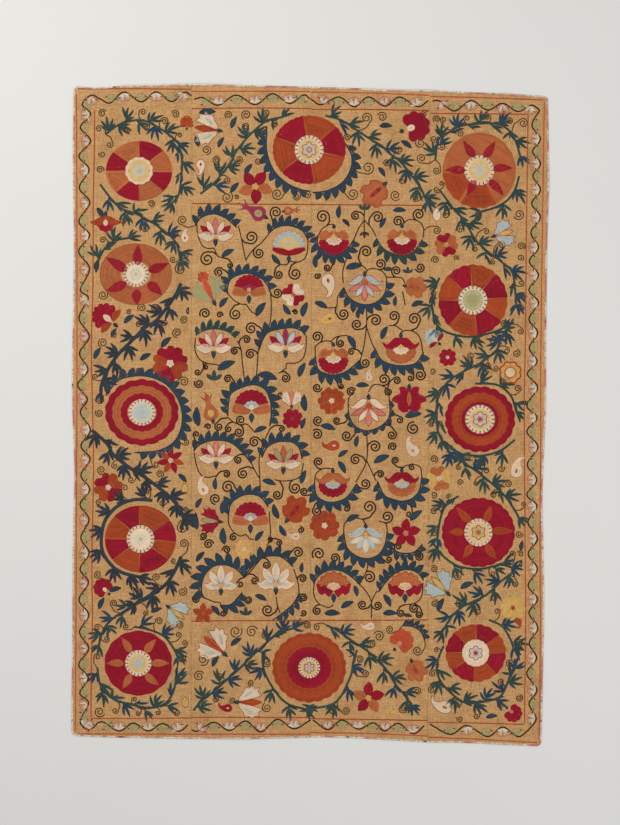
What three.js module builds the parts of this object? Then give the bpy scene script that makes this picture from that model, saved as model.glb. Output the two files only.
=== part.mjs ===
// Suzani: four hand-loomed cotton strips sewn side by side and bound round the rim with a narrow braid.
// Units are millimetres. X runs across the strips, Y along them, +Z is up out of the face.
// The origin is the centre of the underside, so the cloth lies on the plane z = 0.
import * as THREE from 'three';

// Overall sizes, thicknesses and gaps
const HALF_LENGTH = 1205;
const CLOTH_THICKNESS = 1.8;
const PIECE_GAP = 0.3;
const EDGING_WIDTH = 5;
const EDGING_THICKNESS = 3;
const CORNER_RADIUS = 18;

// Cells of each strip's lattice, which the edging's steps follow, and steps of a corner's arc
const STRIP_CELLS_ACROSS = 9;
const STRIP_CELLS_ALONG = 44;
const ARC_STEPS = 3;

// Outer rim, measured to the outside of the edging: a hand-woven cloth is never square.
// Each side's table runs between its rounded corners, and the side is straight past either end.
const LEFT_RIM = [
  { along: -1148, out: -869 },
  { along: -1080, out: -869 },
  { along: -820, out: -866 },
  { along: -520, out: -864 },
  { along: -320, out: -860 },
  { along: -220, out: -857 },
  { along: -130, out: -860 },
  { along: 85, out: -867 },
  { along: 330, out: -864 },
  { along: 620, out: -860 },
  { along: 930, out: -864 },
  { along: 1176, out: -861 },
];
const RIGHT_RIM = [
  { along: -1186, out: 840 },
  { along: -1080, out: 843 },
  { along: -900, out: 847 },
  { along: -670, out: 851 },
  { along: -450, out: 847 },
  { along: -340, out: 843 },
  { along: -110, out: 851 },
  { along: 20, out: 857 },
  { along: 260, out: 858 },
  { along: 620, out: 862 },
  { along: 850, out: 869 },
  { along: 1142, out: 865 },
];
const TOP_RIM = [
  { along: -842, out: 1196 },
  { along: -780, out: 1191 },
  { along: -690, out: 1198 },
  { along: -530, out: 1202 },
  { along: -400, out: 1205 },
  { along: -290, out: 1202 },
  { along: -110, out: 1198 },
  { along: 35, out: 1194 },
  { along: 165, out: 1190 },
  { along: 270, out: 1184 },
  { along: 440, out: 1182 },
  { along: 560, out: 1176 },
  { along: 675, out: 1172 },
  { along: 845, out: 1162 },
];
const BOTTOM_RIM = [
  { along: -850, out: -1167 },
  { along: -780, out: -1171 },
  { along: -600, out: -1175 },
  { along: -290, out: -1179 },
  { along: -70, out: -1175 },
  { along: 50, out: -1172 },
  { along: 195, out: -1177 },
  { along: 310, out: -1184 },
  { along: 415, out: -1190 },
  { along: 560, out: -1193 },
  { along: 690, out: -1198 },
  { along: 822, out: -1205 },
];

// Seams between the strips: x at the bottom and at the top rim
const LEFT_SEAM = { bottom: -434, top: -431 };
const MIDDLE_SEAM = { bottom: -1, top: 6 };
const RIGHT_SEAM = { bottom: 427, top: 436 };

// Strips of ground cloth from left to right, each between two seams or, where there is none, the rim
const STRIPS = [
  { name: 'strip_outer_left', left: null, right: LEFT_SEAM },
  { name: 'strip_inner_left', left: LEFT_SEAM, right: MIDDLE_SEAM },
  { name: 'strip_inner_right', left: MIDDLE_SEAM, right: RIGHT_SEAM },
  { name: 'strip_outer_right', left: RIGHT_SEAM, right: null },
];

// Soft ripples where the cloth stands off the surface: centre, size along and across, turn in degrees
const RIPPLES = [
  { x: -433, y: 760, length: 640, width: 210, turn: 90, height: 2.4 },
  { x: -436, y: -560, length: 780, width: 220, turn: 91, height: 2.8 },
  { x: 4, y: 330, length: 820, width: 200, turn: 89, height: 2.2 },
  { x: 2, y: -800, length: 560, width: 200, turn: 90, height: 2.6 },
  { x: 431, y: 590, length: 720, width: 220, turn: 89, height: 2.6 },
  { x: 429, y: -420, length: 660, width: 210, turn: 92, height: 2.9 },
  { x: -770, y: -240, length: 340, width: 210, turn: 4, height: 3 },
  { x: 760, y: -345, length: 360, width: 220, turn: -6, height: 3.2 },
  { x: 770, y: 840, length: 320, width: 210, turn: 12, height: 2.6 },
  { x: -660, y: 640, length: 380, width: 220, turn: 24, height: 1.8 },
  { x: 640, y: 130, length: 400, width: 240, turn: -31, height: 1.9 },
  { x: -210, y: -1090, length: 340, width: 210, turn: 78, height: 2.4 },
  { x: 250, y: 1080, length: 340, width: 210, turn: 97, height: 2.3 },
  { x: 745, y: -1100, length: 380, width: 230, turn: 45, height: 3.4 },
  { x: -760, y: 1090, length: 340, width: 220, turn: -42, height: 2.8 },
];

const COTTON = { color: 0xb28a5d, roughness: 0.95 };
const BRAID = { color: 0xc9b49a, roughness: 0.9 };

const CLOTH_INSET = EDGING_WIDTH + PIECE_GAP;

// Reads a rim table at a place along the side, on a smooth curve through its rows.
function readRim(rows, along) {
  let last = rows.length - 2;
  while (last > 0 && along < rows[last].along) {
    last -= 1;
  }
  const a = rows[last];
  const b = rows[last + 1];
  const before = rows[Math.max(last - 1, 0)];
  const after = rows[Math.min(last + 2, rows.length - 1)];
  const span = b.along - a.along;
  const slopeA = (b.out - before.out) / (b.along - before.along);
  const slopeB = (after.out - a.out) / (after.along - a.along);
  const t = THREE.MathUtils.clamp((along - a.along) / span, 0, 1);
  const t2 = t * t;
  const t3 = t2 * t;
  const fromA = (2 * t3 - 3 * t2 + 1) * a.out + (t3 - 2 * t2 + t) * span * slopeA;
  const fromB = (3 * t2 - 2 * t3) * b.out + (t3 - t2) * span * slopeB;
  return fromA + fromB;
}

// Falls from 1 at the middle of a ripple to 0 at its rim.
function swell(share) {
  return share < 1 ? 0.5 + 0.5 * Math.cos(Math.PI * share) : 0;
}

// Height of the cloth's underside over the surface.
function rippleHeight(x, y) {
  let height = 0;
  for (const ripple of RIPPLES) {
    const turn = THREE.MathUtils.degToRad(ripple.turn);
    const dx = x - ripple.x;
    const dy = y - ripple.y;
    const along = Math.abs(dx * Math.cos(turn) + dy * Math.sin(turn)) / (ripple.length / 2);
    const across = Math.abs(dy * Math.cos(turn) - dx * Math.sin(turn)) / (ripple.width / 2);
    height += ripple.height * swell(along) * swell(across);
  }
  return height;
}

// The x of a strip's left side at a place y along it.
function leftSide({ left }, y) {
  if (!left) {
    return readRim(LEFT_RIM, y) + CLOTH_INSET;
  }
  return THREE.MathUtils.mapLinear(y, -HALF_LENGTH, HALF_LENGTH, left.bottom, left.top) + PIECE_GAP / 2;
}

// The x of a strip's right side at a place y along it.
function rightSide({ right }, y) {
  if (!right) {
    return readRim(RIGHT_RIM, y) - CLOTH_INSET;
  }
  return THREE.MathUtils.mapLinear(y, -HALF_LENGTH, HALF_LENGTH, right.bottom, right.top) - PIECE_GAP / 2;
}

// The x at a share of a strip's width, from its left side.
function acrossStrip(strip, share, y) {
  return THREE.MathUtils.lerp(leftSide(strip, y), rightSide(strip, y), share);
}

// How far a rounded corner draws the end of a column in, at a distance from the corner's side.
function cornerDrop(distance) {
  const radius = CORNER_RADIUS - CLOTH_INSET;
  const inside = Math.max(radius - distance, 0);
  return radius - Math.sqrt(radius * radius - inside * inside);
}

// Builds one closed sheet from a lattice of columns and rows, with its top face, underside and rim.
function sheetGeometry(columns, rows, pointAt) {
  const positions = [];
  const indices = [];
  const layer = (columns + 1) * (rows + 1);
  for (const lift of [CLOTH_THICKNESS, 0]) {
    for (let row = 0; row <= rows; row += 1) {
      for (let column = 0; column <= columns; column += 1) {
        const { x, y } = pointAt(column, row);
        positions.push(x, y, rippleHeight(x, y) + lift);
      }
    }
  }
  const index = (column, row) => row * (columns + 1) + column;
  for (let row = 0; row < rows; row += 1) {
    for (let column = 0; column < columns; column += 1) {
      const a = index(column, row);
      const b = index(column + 1, row);
      const c = index(column + 1, row + 1);
      const d = index(column, row + 1);
      indices.push(a, b, c, a, c, d);
      indices.push(layer + a, layer + c, layer + b, layer + a, layer + d, layer + c);
    }
  }
  const wall = (from, to) => indices.push(from, layer + from, layer + to, from, layer + to, to);
  for (let column = 0; column < columns; column += 1) {
    wall(index(column, 0), index(column + 1, 0));
    wall(index(column + 1, rows), index(column, rows));
  }
  for (let row = 0; row < rows; row += 1) {
    wall(index(0, row + 1), index(0, row));
    wall(index(columns, row), index(columns, row + 1));
  }
  return closedGeometry(positions, indices);
}

// Makes a buffer geometry from shared points and triangles.
function closedGeometry(positions, indices) {
  const geometry = new THREE.BufferGeometry();
  geometry.setAttribute('position', new THREE.Float32BufferAttribute(positions, 3));
  geometry.setIndex(indices);
  geometry.computeVertexNormals();
  return geometry;
}

// Where a column of a strip ends at the top or bottom rim. The sign is 1 at the top and -1 at the bottom.
function columnEnd(strip, share, rim, sign) {
  const y = readRim(rim, acrossStrip(strip, share, 0));
  const x = acrossStrip(strip, share, y);
  const fromLeft = strip.left ? Infinity : x - leftSide(strip, y);
  const fromRight = strip.right ? Infinity : rightSide(strip, y) - x;
  const inset = CLOTH_INSET + cornerDrop(Math.min(fromLeft, fromRight));
  return { x, y: readRim(rim, x) - sign * inset };
}

// One strip of ground cloth.
function stripMesh(strip) {
  const width = rightSide(strip, 0) - leftSide(strip, 0);
  const even = Array.from({ length: STRIP_CELLS_ACROSS + 1 }, (_, column) => column / STRIP_CELLS_ACROSS);
  const rounded = strip.left && strip.right ? [] : cornerShares(width, !strip.left);
  const shares = [...even, ...rounded].sort((a, b) => a - b);
  const pointAt = (column, row) => {
    const low = columnEnd(strip, shares[column], BOTTOM_RIM, -1).y;
    const high = columnEnd(strip, shares[column], TOP_RIM, 1).y;
    const y = THREE.MathUtils.lerp(low, high, row / STRIP_CELLS_ALONG);
    return { x: acrossStrip(strip, shares[column], y), y };
  };
  return namedMesh(strip.name, sheetGeometry(shares.length - 1, STRIP_CELLS_ALONG, pointAt), COTTON);
}

// Shares of a strip's width where extra columns round its two corners off.
function cornerShares(width, onLeft) {
  const radius = CORNER_RADIUS - CLOTH_INSET;
  const shares = [];
  for (let step = 1; step <= ARC_STEPS; step += 1) {
    const turn = (step / ARC_STEPS) * (Math.PI / 2);
    const share = (radius * (1 - Math.cos(turn))) / width;
    shares.push(onLeft ? share : 1 - share);
  }
  return shares;
}

// The four rounded corners of the rim, in the order they follow each other, anticlockwise.
function rimCorners() {
  const r = CORNER_RADIUS;
  const corner = (sideRim, endRim, sideSign, endSign, startTurn) => {
    const side = readRim(sideRim, endSign * HALF_LENGTH);
    const end = readRim(endRim, side);
    return { x: side - sideSign * r, y: end - endSign * r, startTurn };
  };
  return {
    bottomRight: corner(RIGHT_RIM, BOTTOM_RIM, 1, -1, -90),
    topRight: corner(RIGHT_RIM, TOP_RIM, 1, 1, 0),
    topLeft: corner(LEFT_RIM, TOP_RIM, -1, 1, 90),
    bottomLeft: corner(LEFT_RIM, BOTTOM_RIM, -1, -1, 180),
  };
}

// Points of one half of a corner's arc on the outer rim, each with the way out of the cloth.
function halfArc(corner, firstHalf) {
  const points = [];
  const gapTurn = THREE.MathUtils.radToDeg(PIECE_GAP / 2 / (CORNER_RADIUS - EDGING_WIDTH));
  const from = firstHalf ? 0 : 45 + gapTurn;
  const to = firstHalf ? 45 - gapTurn : 90;
  for (let step = 0; step <= ARC_STEPS; step += 1) {
    const degrees = corner.startTurn + THREE.MathUtils.lerp(from, to, step / ARC_STEPS);
    const turn = THREE.MathUtils.degToRad(degrees);
    const outward = new THREE.Vector2(Math.cos(turn), Math.sin(turn));
    const place = outward.clone().multiplyScalar(CORNER_RADIUS).add(new THREE.Vector2(corner.x, corner.y));
    points.push({ place, outward });
  }
  return points;
}

// Places along the top or bottom rim that match the strips' columns, from left to right.
function endStations(rim, sign) {
  const stations = [];
  for (const strip of STRIPS) {
    for (let column = 1; column <= STRIP_CELLS_ACROSS; column += 1) {
      stations.push(columnEnd(strip, column / STRIP_CELLS_ACROSS, rim, sign).x);
    }
  }
  return stations.slice(0, -1);
}

// Places along the left or right rim between two corners that match the strips' rows.
function sideStations(from, to) {
  const stations = [];
  for (let row = 1; row < STRIP_CELLS_ALONG; row += 1) {
    stations.push(THREE.MathUtils.lerp(from.y, to.y, row / STRIP_CELLS_ALONG));
  }
  return stations;
}

// One length of braid: a low six-sided section swept along the rim, anticlockwise, from corner to corner.
function edgingMesh(name, points) {
  const section = [
    { inward: EDGING_WIDTH, up: 0 },
    { inward: 0, up: 0 },
    { inward: 0, up: EDGING_THICKNESS * 0.55 },
    { inward: EDGING_WIDTH * 0.25, up: EDGING_THICKNESS },
    { inward: EDGING_WIDTH * 0.75, up: EDGING_THICKNESS },
    { inward: EDGING_WIDTH, up: EDGING_THICKNESS * 0.55 },
  ];
  const positions = [];
  const indices = [];
  for (const { place, outward } of points) {
    const lift = rippleHeight(place.x - outward.x * EDGING_WIDTH, place.y - outward.y * EDGING_WIDTH);
    for (const { inward, up } of section) {
      positions.push(place.x - outward.x * inward, place.y - outward.y * inward, lift + up);
    }
  }
  const sides = section.length;
  for (let ring = 0; ring + 1 < points.length; ring += 1) {
    for (let side = 0; side < sides; side += 1) {
      const a = ring * sides + side;
      const b = ring * sides + ((side + 1) % sides);
      indices.push(a, a + sides, b, b, a + sides, b + sides);
    }
  }
  const end = (points.length - 1) * sides;
  for (let side = 1; side + 1 < sides; side += 1) {
    indices.push(0, side, side + 1);
    indices.push(end, end + side + 1, end + side);
  }
  return namedMesh(name, closedGeometry(positions, indices), BRAID);
}

// A mesh with its name and a material of its own.
function namedMesh(name, geometry, finish) {
  const material = new THREE.MeshStandardMaterial({ ...finish, metalness: 0 });
  const mesh = new THREE.Mesh(geometry, material);
  mesh.name = name;
  return mesh;
}

// The four lengths of braid, each from the middle of one corner to the middle of the next, anticlockwise.
function edgingMeshes() {
  const { bottomRight, topRight, topLeft, bottomLeft } = rimCorners();
  const upright = (rim, sign) => (y) => ({
    place: new THREE.Vector2(readRim(rim, y), y),
    outward: new THREE.Vector2(sign, 0),
  });
  const level = (rim, sign) => (x) => ({
    place: new THREE.Vector2(x, readRim(rim, x)),
    outward: new THREE.Vector2(0, sign),
  });
  const rightSteps = sideStations(bottomRight, topRight).map(upright(RIGHT_RIM, 1));
  const topSteps = endStations(TOP_RIM, 1).reverse().map(level(TOP_RIM, 1));
  const leftSteps = sideStations(topLeft, bottomLeft).map(upright(LEFT_RIM, -1));
  const bottomSteps = endStations(BOTTOM_RIM, -1).map(level(BOTTOM_RIM, -1));
  const length = (name, from, steps, to) => {
    return edgingMesh(name, [...halfArc(from, false), ...steps, ...halfArc(to, true)]);
  };
  return [
    length('edging_right', bottomRight, rightSteps, topRight),
    length('edging_top', topRight, topSteps, topLeft),
    length('edging_left', topLeft, leftSteps, bottomLeft),
    length('edging_bottom', bottomLeft, bottomSteps, bottomRight),
  ];
}

const suzani = new THREE.Group();
suzani.add(...STRIPS.map(stripMesh));
suzani.add(...edgingMeshes());

export default suzani;
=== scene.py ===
"""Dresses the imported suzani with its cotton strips, rim braid, seams and silk embroidery.

Sizes in the tables are millimetres. X runs across the strips, Y along them and +Z is up out of the face.
"""

import logging
import math
from collections.abc import Iterable, Sequence
from dataclasses import dataclass, field
from enum import Enum

import bpy
import numpy as np
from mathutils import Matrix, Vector


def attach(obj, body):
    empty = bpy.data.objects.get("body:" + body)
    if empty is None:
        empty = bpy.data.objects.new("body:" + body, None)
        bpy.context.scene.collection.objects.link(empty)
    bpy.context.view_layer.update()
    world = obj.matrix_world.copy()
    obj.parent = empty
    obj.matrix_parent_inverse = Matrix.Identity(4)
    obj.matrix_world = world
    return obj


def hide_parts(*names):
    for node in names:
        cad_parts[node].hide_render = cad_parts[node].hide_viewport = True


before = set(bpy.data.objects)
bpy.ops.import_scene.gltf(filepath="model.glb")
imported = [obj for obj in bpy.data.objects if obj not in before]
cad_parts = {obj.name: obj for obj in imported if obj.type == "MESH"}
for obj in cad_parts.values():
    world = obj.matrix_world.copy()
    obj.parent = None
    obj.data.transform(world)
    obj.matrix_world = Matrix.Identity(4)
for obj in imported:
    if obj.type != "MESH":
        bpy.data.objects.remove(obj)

logging.basicConfig(level=logging.INFO, format="%(levelname)s %(message)s")
log = logging.getLogger("suzani")

Points = np.ndarray
Colour = tuple[float, float, float]

MM = 0.001
HALF_LENGTH = 1205.0
CLOTH_THICKNESS = 1.8
PIECE_GAP = 0.3
EDGING_WIDTH = 5.0
EDGING_THICKNESS = 3.0
CORNER_RADIUS = 18.0
CLOTH_INSET = EDGING_WIDTH + PIECE_GAP

# Rows of silk: the distance between them, their section, and how a wide line is split into rows
ROW_PITCH = 3.2
ROW_HALF_WIDTH = 2.05
ROW_CROWN = 0.36
ROW_SIDES = 3
ROW_BASE = 0.25
LINE_PITCH = 3.1
LINE_OVERLAP = 0.58

# Distance between the points of a motif's edge, of a line and of a stem
EDGE_STEP = 1.7
LINE_STEP = 2.0
STEM_STEP = 3.0

# Widths of the worked lines
OUTLINE_WIDTH = 2.6
PETAL_OUTLINE_WIDTH = 2.3
BORDER_LINE_WIDTH = 4.4
WAVE_WIDTH = 5.0
STEM_WIDTH = 4.2
DARK_CURL_WIDTH = 5.2
PALE_CURL_WIDTH = 4.4

# The studio: half the floor's side, how far it lies under the cloth, and where the camera stands in metres
FLOOR_REACH = 30000.0
FLOOR_DROP = 0.3
CAMERA_PLACE = (-0.001, 0.0095, 7.092)


class Thread(Enum):
    """The silks, each with the name that its material takes."""

    CRIMSON = "silk_crimson"
    RUST = "silk_rust"
    APRICOT = "silk_apricot"
    VERMILION = "silk_vermilion"
    TEAL = "silk_teal"
    INDIGO = "silk_indigo"
    UMBER = "silk_umber"
    OLIVE = "silk_olive"
    IVORY = "silk_ivory"
    SKY = "silk_sky"
    STRAW = "silk_straw"
    SAGE = "silk_sage"
    ROSE = "silk_rose"
    PLUM = "silk_plum"


# The silks by their own names, in the order of the list
CRIMSON, RUST, APRICOT, VERMILION, TEAL, INDIGO, UMBER, OLIVE, IVORY, SKY, STRAW, SAGE, ROSE, PLUM = Thread


def as_points(rows: Iterable) -> Points:
    """Pairs of numbers, or one flat run of them, as an array of points."""
    return np.array(rows, float).reshape(-1, 2)


def turned(points: Points, degrees: float) -> Points:
    """Points turned anticlockwise about the origin.

    Args:
        points: The points.
        degrees: How far they turn.

    Returns:
        The turned points.
    """
    angle = math.radians(degrees)
    c, s = math.cos(angle), math.sin(angle)
    return points @ np.array([[c, s], [-s, c]])


def aim(angle: float) -> np.ndarray:
    """The way that an angle in radians points, as a vector of length 1."""
    return np.array([math.cos(angle), math.sin(angle)])


def left_of(steps: Points) -> np.ndarray:
    """Unit vectors that point to the left of some steps."""
    unit = steps / np.maximum(np.hypot(*steps.T), 1e-9)[:, None]
    return np.column_stack([-unit[:, 1], unit[:, 0]])


def lengths_along(path: Points) -> np.ndarray:
    """Distance along a path at each of its points."""
    steps = np.hypot(*np.diff(path, axis=0).T)
    return np.concatenate([[0.0], np.cumsum(steps)])


def spaced(path: Points, step: float, closed: bool = False) -> Points:
    """Puts evenly spaced points on a path.

    Args:
        path: The path's points, in millimetres.
        step: The spacing wanted.
        closed: Whether the path runs on from its last point to its first.

    Returns:
        The new points. A closed path doesn't repeat its first point.
    """
    if closed:
        path = np.vstack([path, path[:1]])
    along = lengths_along(path)
    count = max(int(math.ceil(along[-1] / step)), 3 if closed else 1)
    places = np.linspace(0.0, along[-1], count + 1)
    if closed:
        places = places[:-1]
    return np.column_stack([np.interp(places, along, path[:, i]) for i in (0, 1)])


def smooth(points: Iterable, closed: bool = False, parts: int = 8) -> Points:
    """Runs a smooth curve through points.

    Args:
        points: The places that the curve passes through.
        closed: Whether it returns to its start.
        parts: How many steps it takes between two places.

    Returns:
        The curve's points.
    """
    rows = as_points(points)
    count = len(rows)
    if count < 3:
        return rows
    if closed:
        before, after, beyond = np.roll(rows, 1, 0), np.roll(rows, -1, 0), np.roll(rows, -2, 0)
    else:
        ends = np.vstack([2 * rows[0] - rows[1], rows, 2 * rows[-1] - rows[-2]])
        before, after, beyond = ends[:-3], ends[2:-1], ends[3:]
        rows = rows[:-1]
    t = np.linspace(0.0, 1.0, parts, endpoint=False)[None, :, None]
    a, b, c, d = before[:, None], rows[:, None], after[:, None], beyond[:, None]
    curve = b + 0.5 * t * (c - a) + 0.5 * t**2 * (2 * a - 5 * b + 4 * c - d)
    curve = curve + 0.5 * t**3 * (3 * b - a - 3 * c + d)
    curve = curve.reshape(-1, 2)
    return curve if closed else np.vstack([curve, as_points(points)[-1:]])


def eased(path: Points, closed: bool, bend: float = 18.0, reach: float = 15.0) -> Points:
    """Thins a dense path to as few points as its bends allow.

    Args:
        path: The dense path.
        closed: Whether it returns to its start.
        bend: Degrees that one step may turn.
        reach: Millimetres that one step may cover.

    Returns:
        The thinned path, which keeps its ends and sharp corners.
    """
    ring = np.vstack([path, path[:1]]) if closed else path
    steps = np.diff(ring, axis=0)
    headings = np.arctan2(steps[:, 1], steps[:, 0])
    turns = np.abs((np.diff(headings) + math.pi) % (2 * math.pi) - math.pi) / math.radians(bend)
    lengths = lengths_along(ring) / reach
    turned_by = np.concatenate([[0.0], np.cumsum(turns), [np.sum(turns)]])
    before = lengths + np.concatenate([[0.0], turned_by[:-1]])
    cost = np.column_stack([before, lengths + turned_by]).ravel()
    count = max(int(math.ceil(cost[-1])), 4 if closed else 1)
    places = np.linspace(0.0, cost[-1], count + 1)
    doubled = np.repeat(ring, 2, axis=0)
    thin = np.column_stack([np.interp(places, cost, doubled[:, i]) for i in (0, 1)])
    apart = np.hypot(*np.diff(thin, axis=0).T) > 0.35
    thin = thin[np.concatenate([[True], apart])]
    return thin[:-1] if closed and len(thin) > 3 else thin


def shoelace(outline: Points) -> float:
    """Signed area inside a closed outline, above 0 where it runs anticlockwise."""
    x, y = outline.T
    return 0.5 * float(np.sum(x * np.roll(y, -1) - np.roll(x, -1) * y))


def inward(outline: Points) -> np.ndarray:
    """Unit vectors that point into an anticlockwise outline at each of its points."""
    return left_of(np.roll(outline, -1, 0) - np.roll(outline, 1, 0))


def beside(path: Points, offset: float) -> Points:
    """An open path moved sideways, to its left where offset is above 0."""
    return path + offset * left_of(np.gradient(path, axis=0))


def mitred(path: Points, closed: bool, half: float) -> np.ndarray:
    """A row's half width at each of its points, wider in a corner so that its sides stay straight.

    Args:
        path: The row's points.
        closed: Whether it comes back to its start.
        half: Its half width where it is straight.

    Returns:
        The half widths, one for each point.
    """
    steps = np.diff(np.vstack([path, path[:1]]), axis=0)
    headings = np.arctan2(steps[:, 1], steps[:, 0])
    turns = (headings - np.roll(headings, 1) + math.pi) % (2 * math.pi) - math.pi
    wider = 1 / np.maximum(np.cos(turns / 2), 0.5)
    if not closed:
        wider[[0, -1]] = 1.0
    return half * wider


def bent_line(start: Iterable, tip: Iterable, share: np.ndarray, bow: float) -> tuple[Points, np.ndarray]:
    """The middle line of a leaf or petal.

    Args:
        start: Where it grows from.
        tip: Its far end.
        share: The shares of its length where it is read.
        bow: How far its middle bends to its left, in millimetres.

    Returns:
        The line's points and the way to its left.
    """
    a, b = np.array(start, float), np.array(tip, float)
    side = np.array([a[1] - b[1], b[0] - a[0]]) / max(float(np.hypot(*(b - a))), 1e-6)
    return a + (b - a) * share[:, None] + side * (bow * np.sin(math.pi * share))[:, None], side


def edge_row(edge: Points, offset: float, pitch: float) -> list[tuple[Points, bool]]:
    """One round of stitching inside an outline.

    Args:
        edge: The outline, anticlockwise, with closely spaced points.
        offset: How far inside it the round runs.
        pitch: Distance between rows.

    Returns:
        Each part's points and whether it closes on itself.
    """
    moved = edge + inward(edge) * offset
    gap = moved[:, None, :] - edge[None, :, :]
    nearest = np.sqrt(np.min(gap[..., 0] ** 2 + gap[..., 1] ** 2, axis=1))
    place = moved[nearest > offset * 0.97 - 0.02]
    if len(place) < 3:
        return []
    jump = np.hypot(*(np.roll(place, -1, 0) - place).T)
    breaks = np.flatnonzero(jump > max(2.0 * pitch, 3.2))
    if len(breaks) == 0:
        return [(place, True)]
    place = np.roll(place, -(breaks[-1] + 1), axis=0)
    cuts = np.sort((breaks - breaks[-1] - 1) % len(place)) + 1
    return [(part, False) for part in np.split(place, cuts[:-1]) if len(part) >= 3]


def laid_rows(edge: Points, depth: float, pitch: float) -> list[tuple[Points, bool]]:
    """Straight rows that fill what an outline's own rounds leave open.

    Args:
        edge: The outline, with closely spaced points.
        depth: How far the rounds reach inside it.
        pitch: Distance between rows.

    Returns:
        Each row's points and False, as none closes on itself.
    """
    centre = edge.mean(0)
    axis = np.linalg.eigh(np.cov((edge - centre).T))[1][:, 1]
    turn = np.array([[axis[0], -axis[1]], [axis[1], axis[0]]])
    own = (edge - centre) @ turn
    beyond = np.roll(own, -1, axis=0)
    (left, low), (right, high) = own.min(0), own.max(0)
    count = int(round((high - low - 2 * depth) / pitch))
    across = np.arange(left, right, 1.6)
    rows: list[tuple[Points, bool]] = []
    for y in low + depth + (np.arange(count) + 0.5) * (high - low - 2 * depth) / max(count, 1):
        crossed = np.flatnonzero((own[:, 1] > y) != (beyond[:, 1] > y))
        share = (y - own[crossed, 1]) / (beyond[crossed, 1] - own[crossed, 1])
        stops = np.sort(own[crossed, 0] + share * (beyond[crossed, 0] - own[crossed, 0]))
        inside = np.searchsorted(stops, across) % 2 == 1
        near = np.min((across[:, None] - own[:, 0]) ** 2 + (y - own[:, 1]) ** 2, axis=1)
        inside &= near > (depth - 0.4) ** 2
        changes = np.flatnonzero(np.diff(np.concatenate([[0], inside.astype(int), [0]])))
        for start, stop in zip(changes[::2], changes[1::2]):
            ends = np.array([[across[start] - 0.8, y], [across[stop - 1] + 0.8, y]])
            rows.append((spaced(ends, 13.0) @ turn.T + centre, False))
    return rows


def filling_rows(outline: Points, pitch: float, rounds: int) -> list[tuple[Points, bool]]:
    """Rows of stitching that fill an outline: rounds along its edge and straight rows within.

    Args:
        outline: The closed outline, in millimetres.
        pitch: Distance between rows.
        rounds: How many rounds follow the edge.

    Returns:
        Each row's points and whether it closes on itself.
    """
    edge = spaced(outline, EDGE_STEP, closed=True)
    if shoelace(edge) < 0:
        edge = edge[::-1]
    rows: list[tuple[Points, bool]] = []
    for number in range(rounds):
        rows += edge_row(edge, pitch * (number + 0.5), pitch)
    rows += laid_rows(edge, pitch * rounds, pitch)
    if not rows:
        middle = len(edge) // 2
        rows.append((np.vstack([edge[0], edge.mean(0), edge[middle]]), False))
    return rows


@dataclass(frozen=True)
class Row:
    """One row of stitching.

    Attributes:
        path: Its points on the cloth, in millimetres.
        closed: Whether it returns to its start.
        half_width: Half its width at each point.
        lift: How far it stands off the cloth.
        shade: Its place between the darkest and the palest dye, from 0 to 1.
    """

    path: Points
    closed: bool
    half_width: np.ndarray
    lift: float
    shade: float


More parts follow.
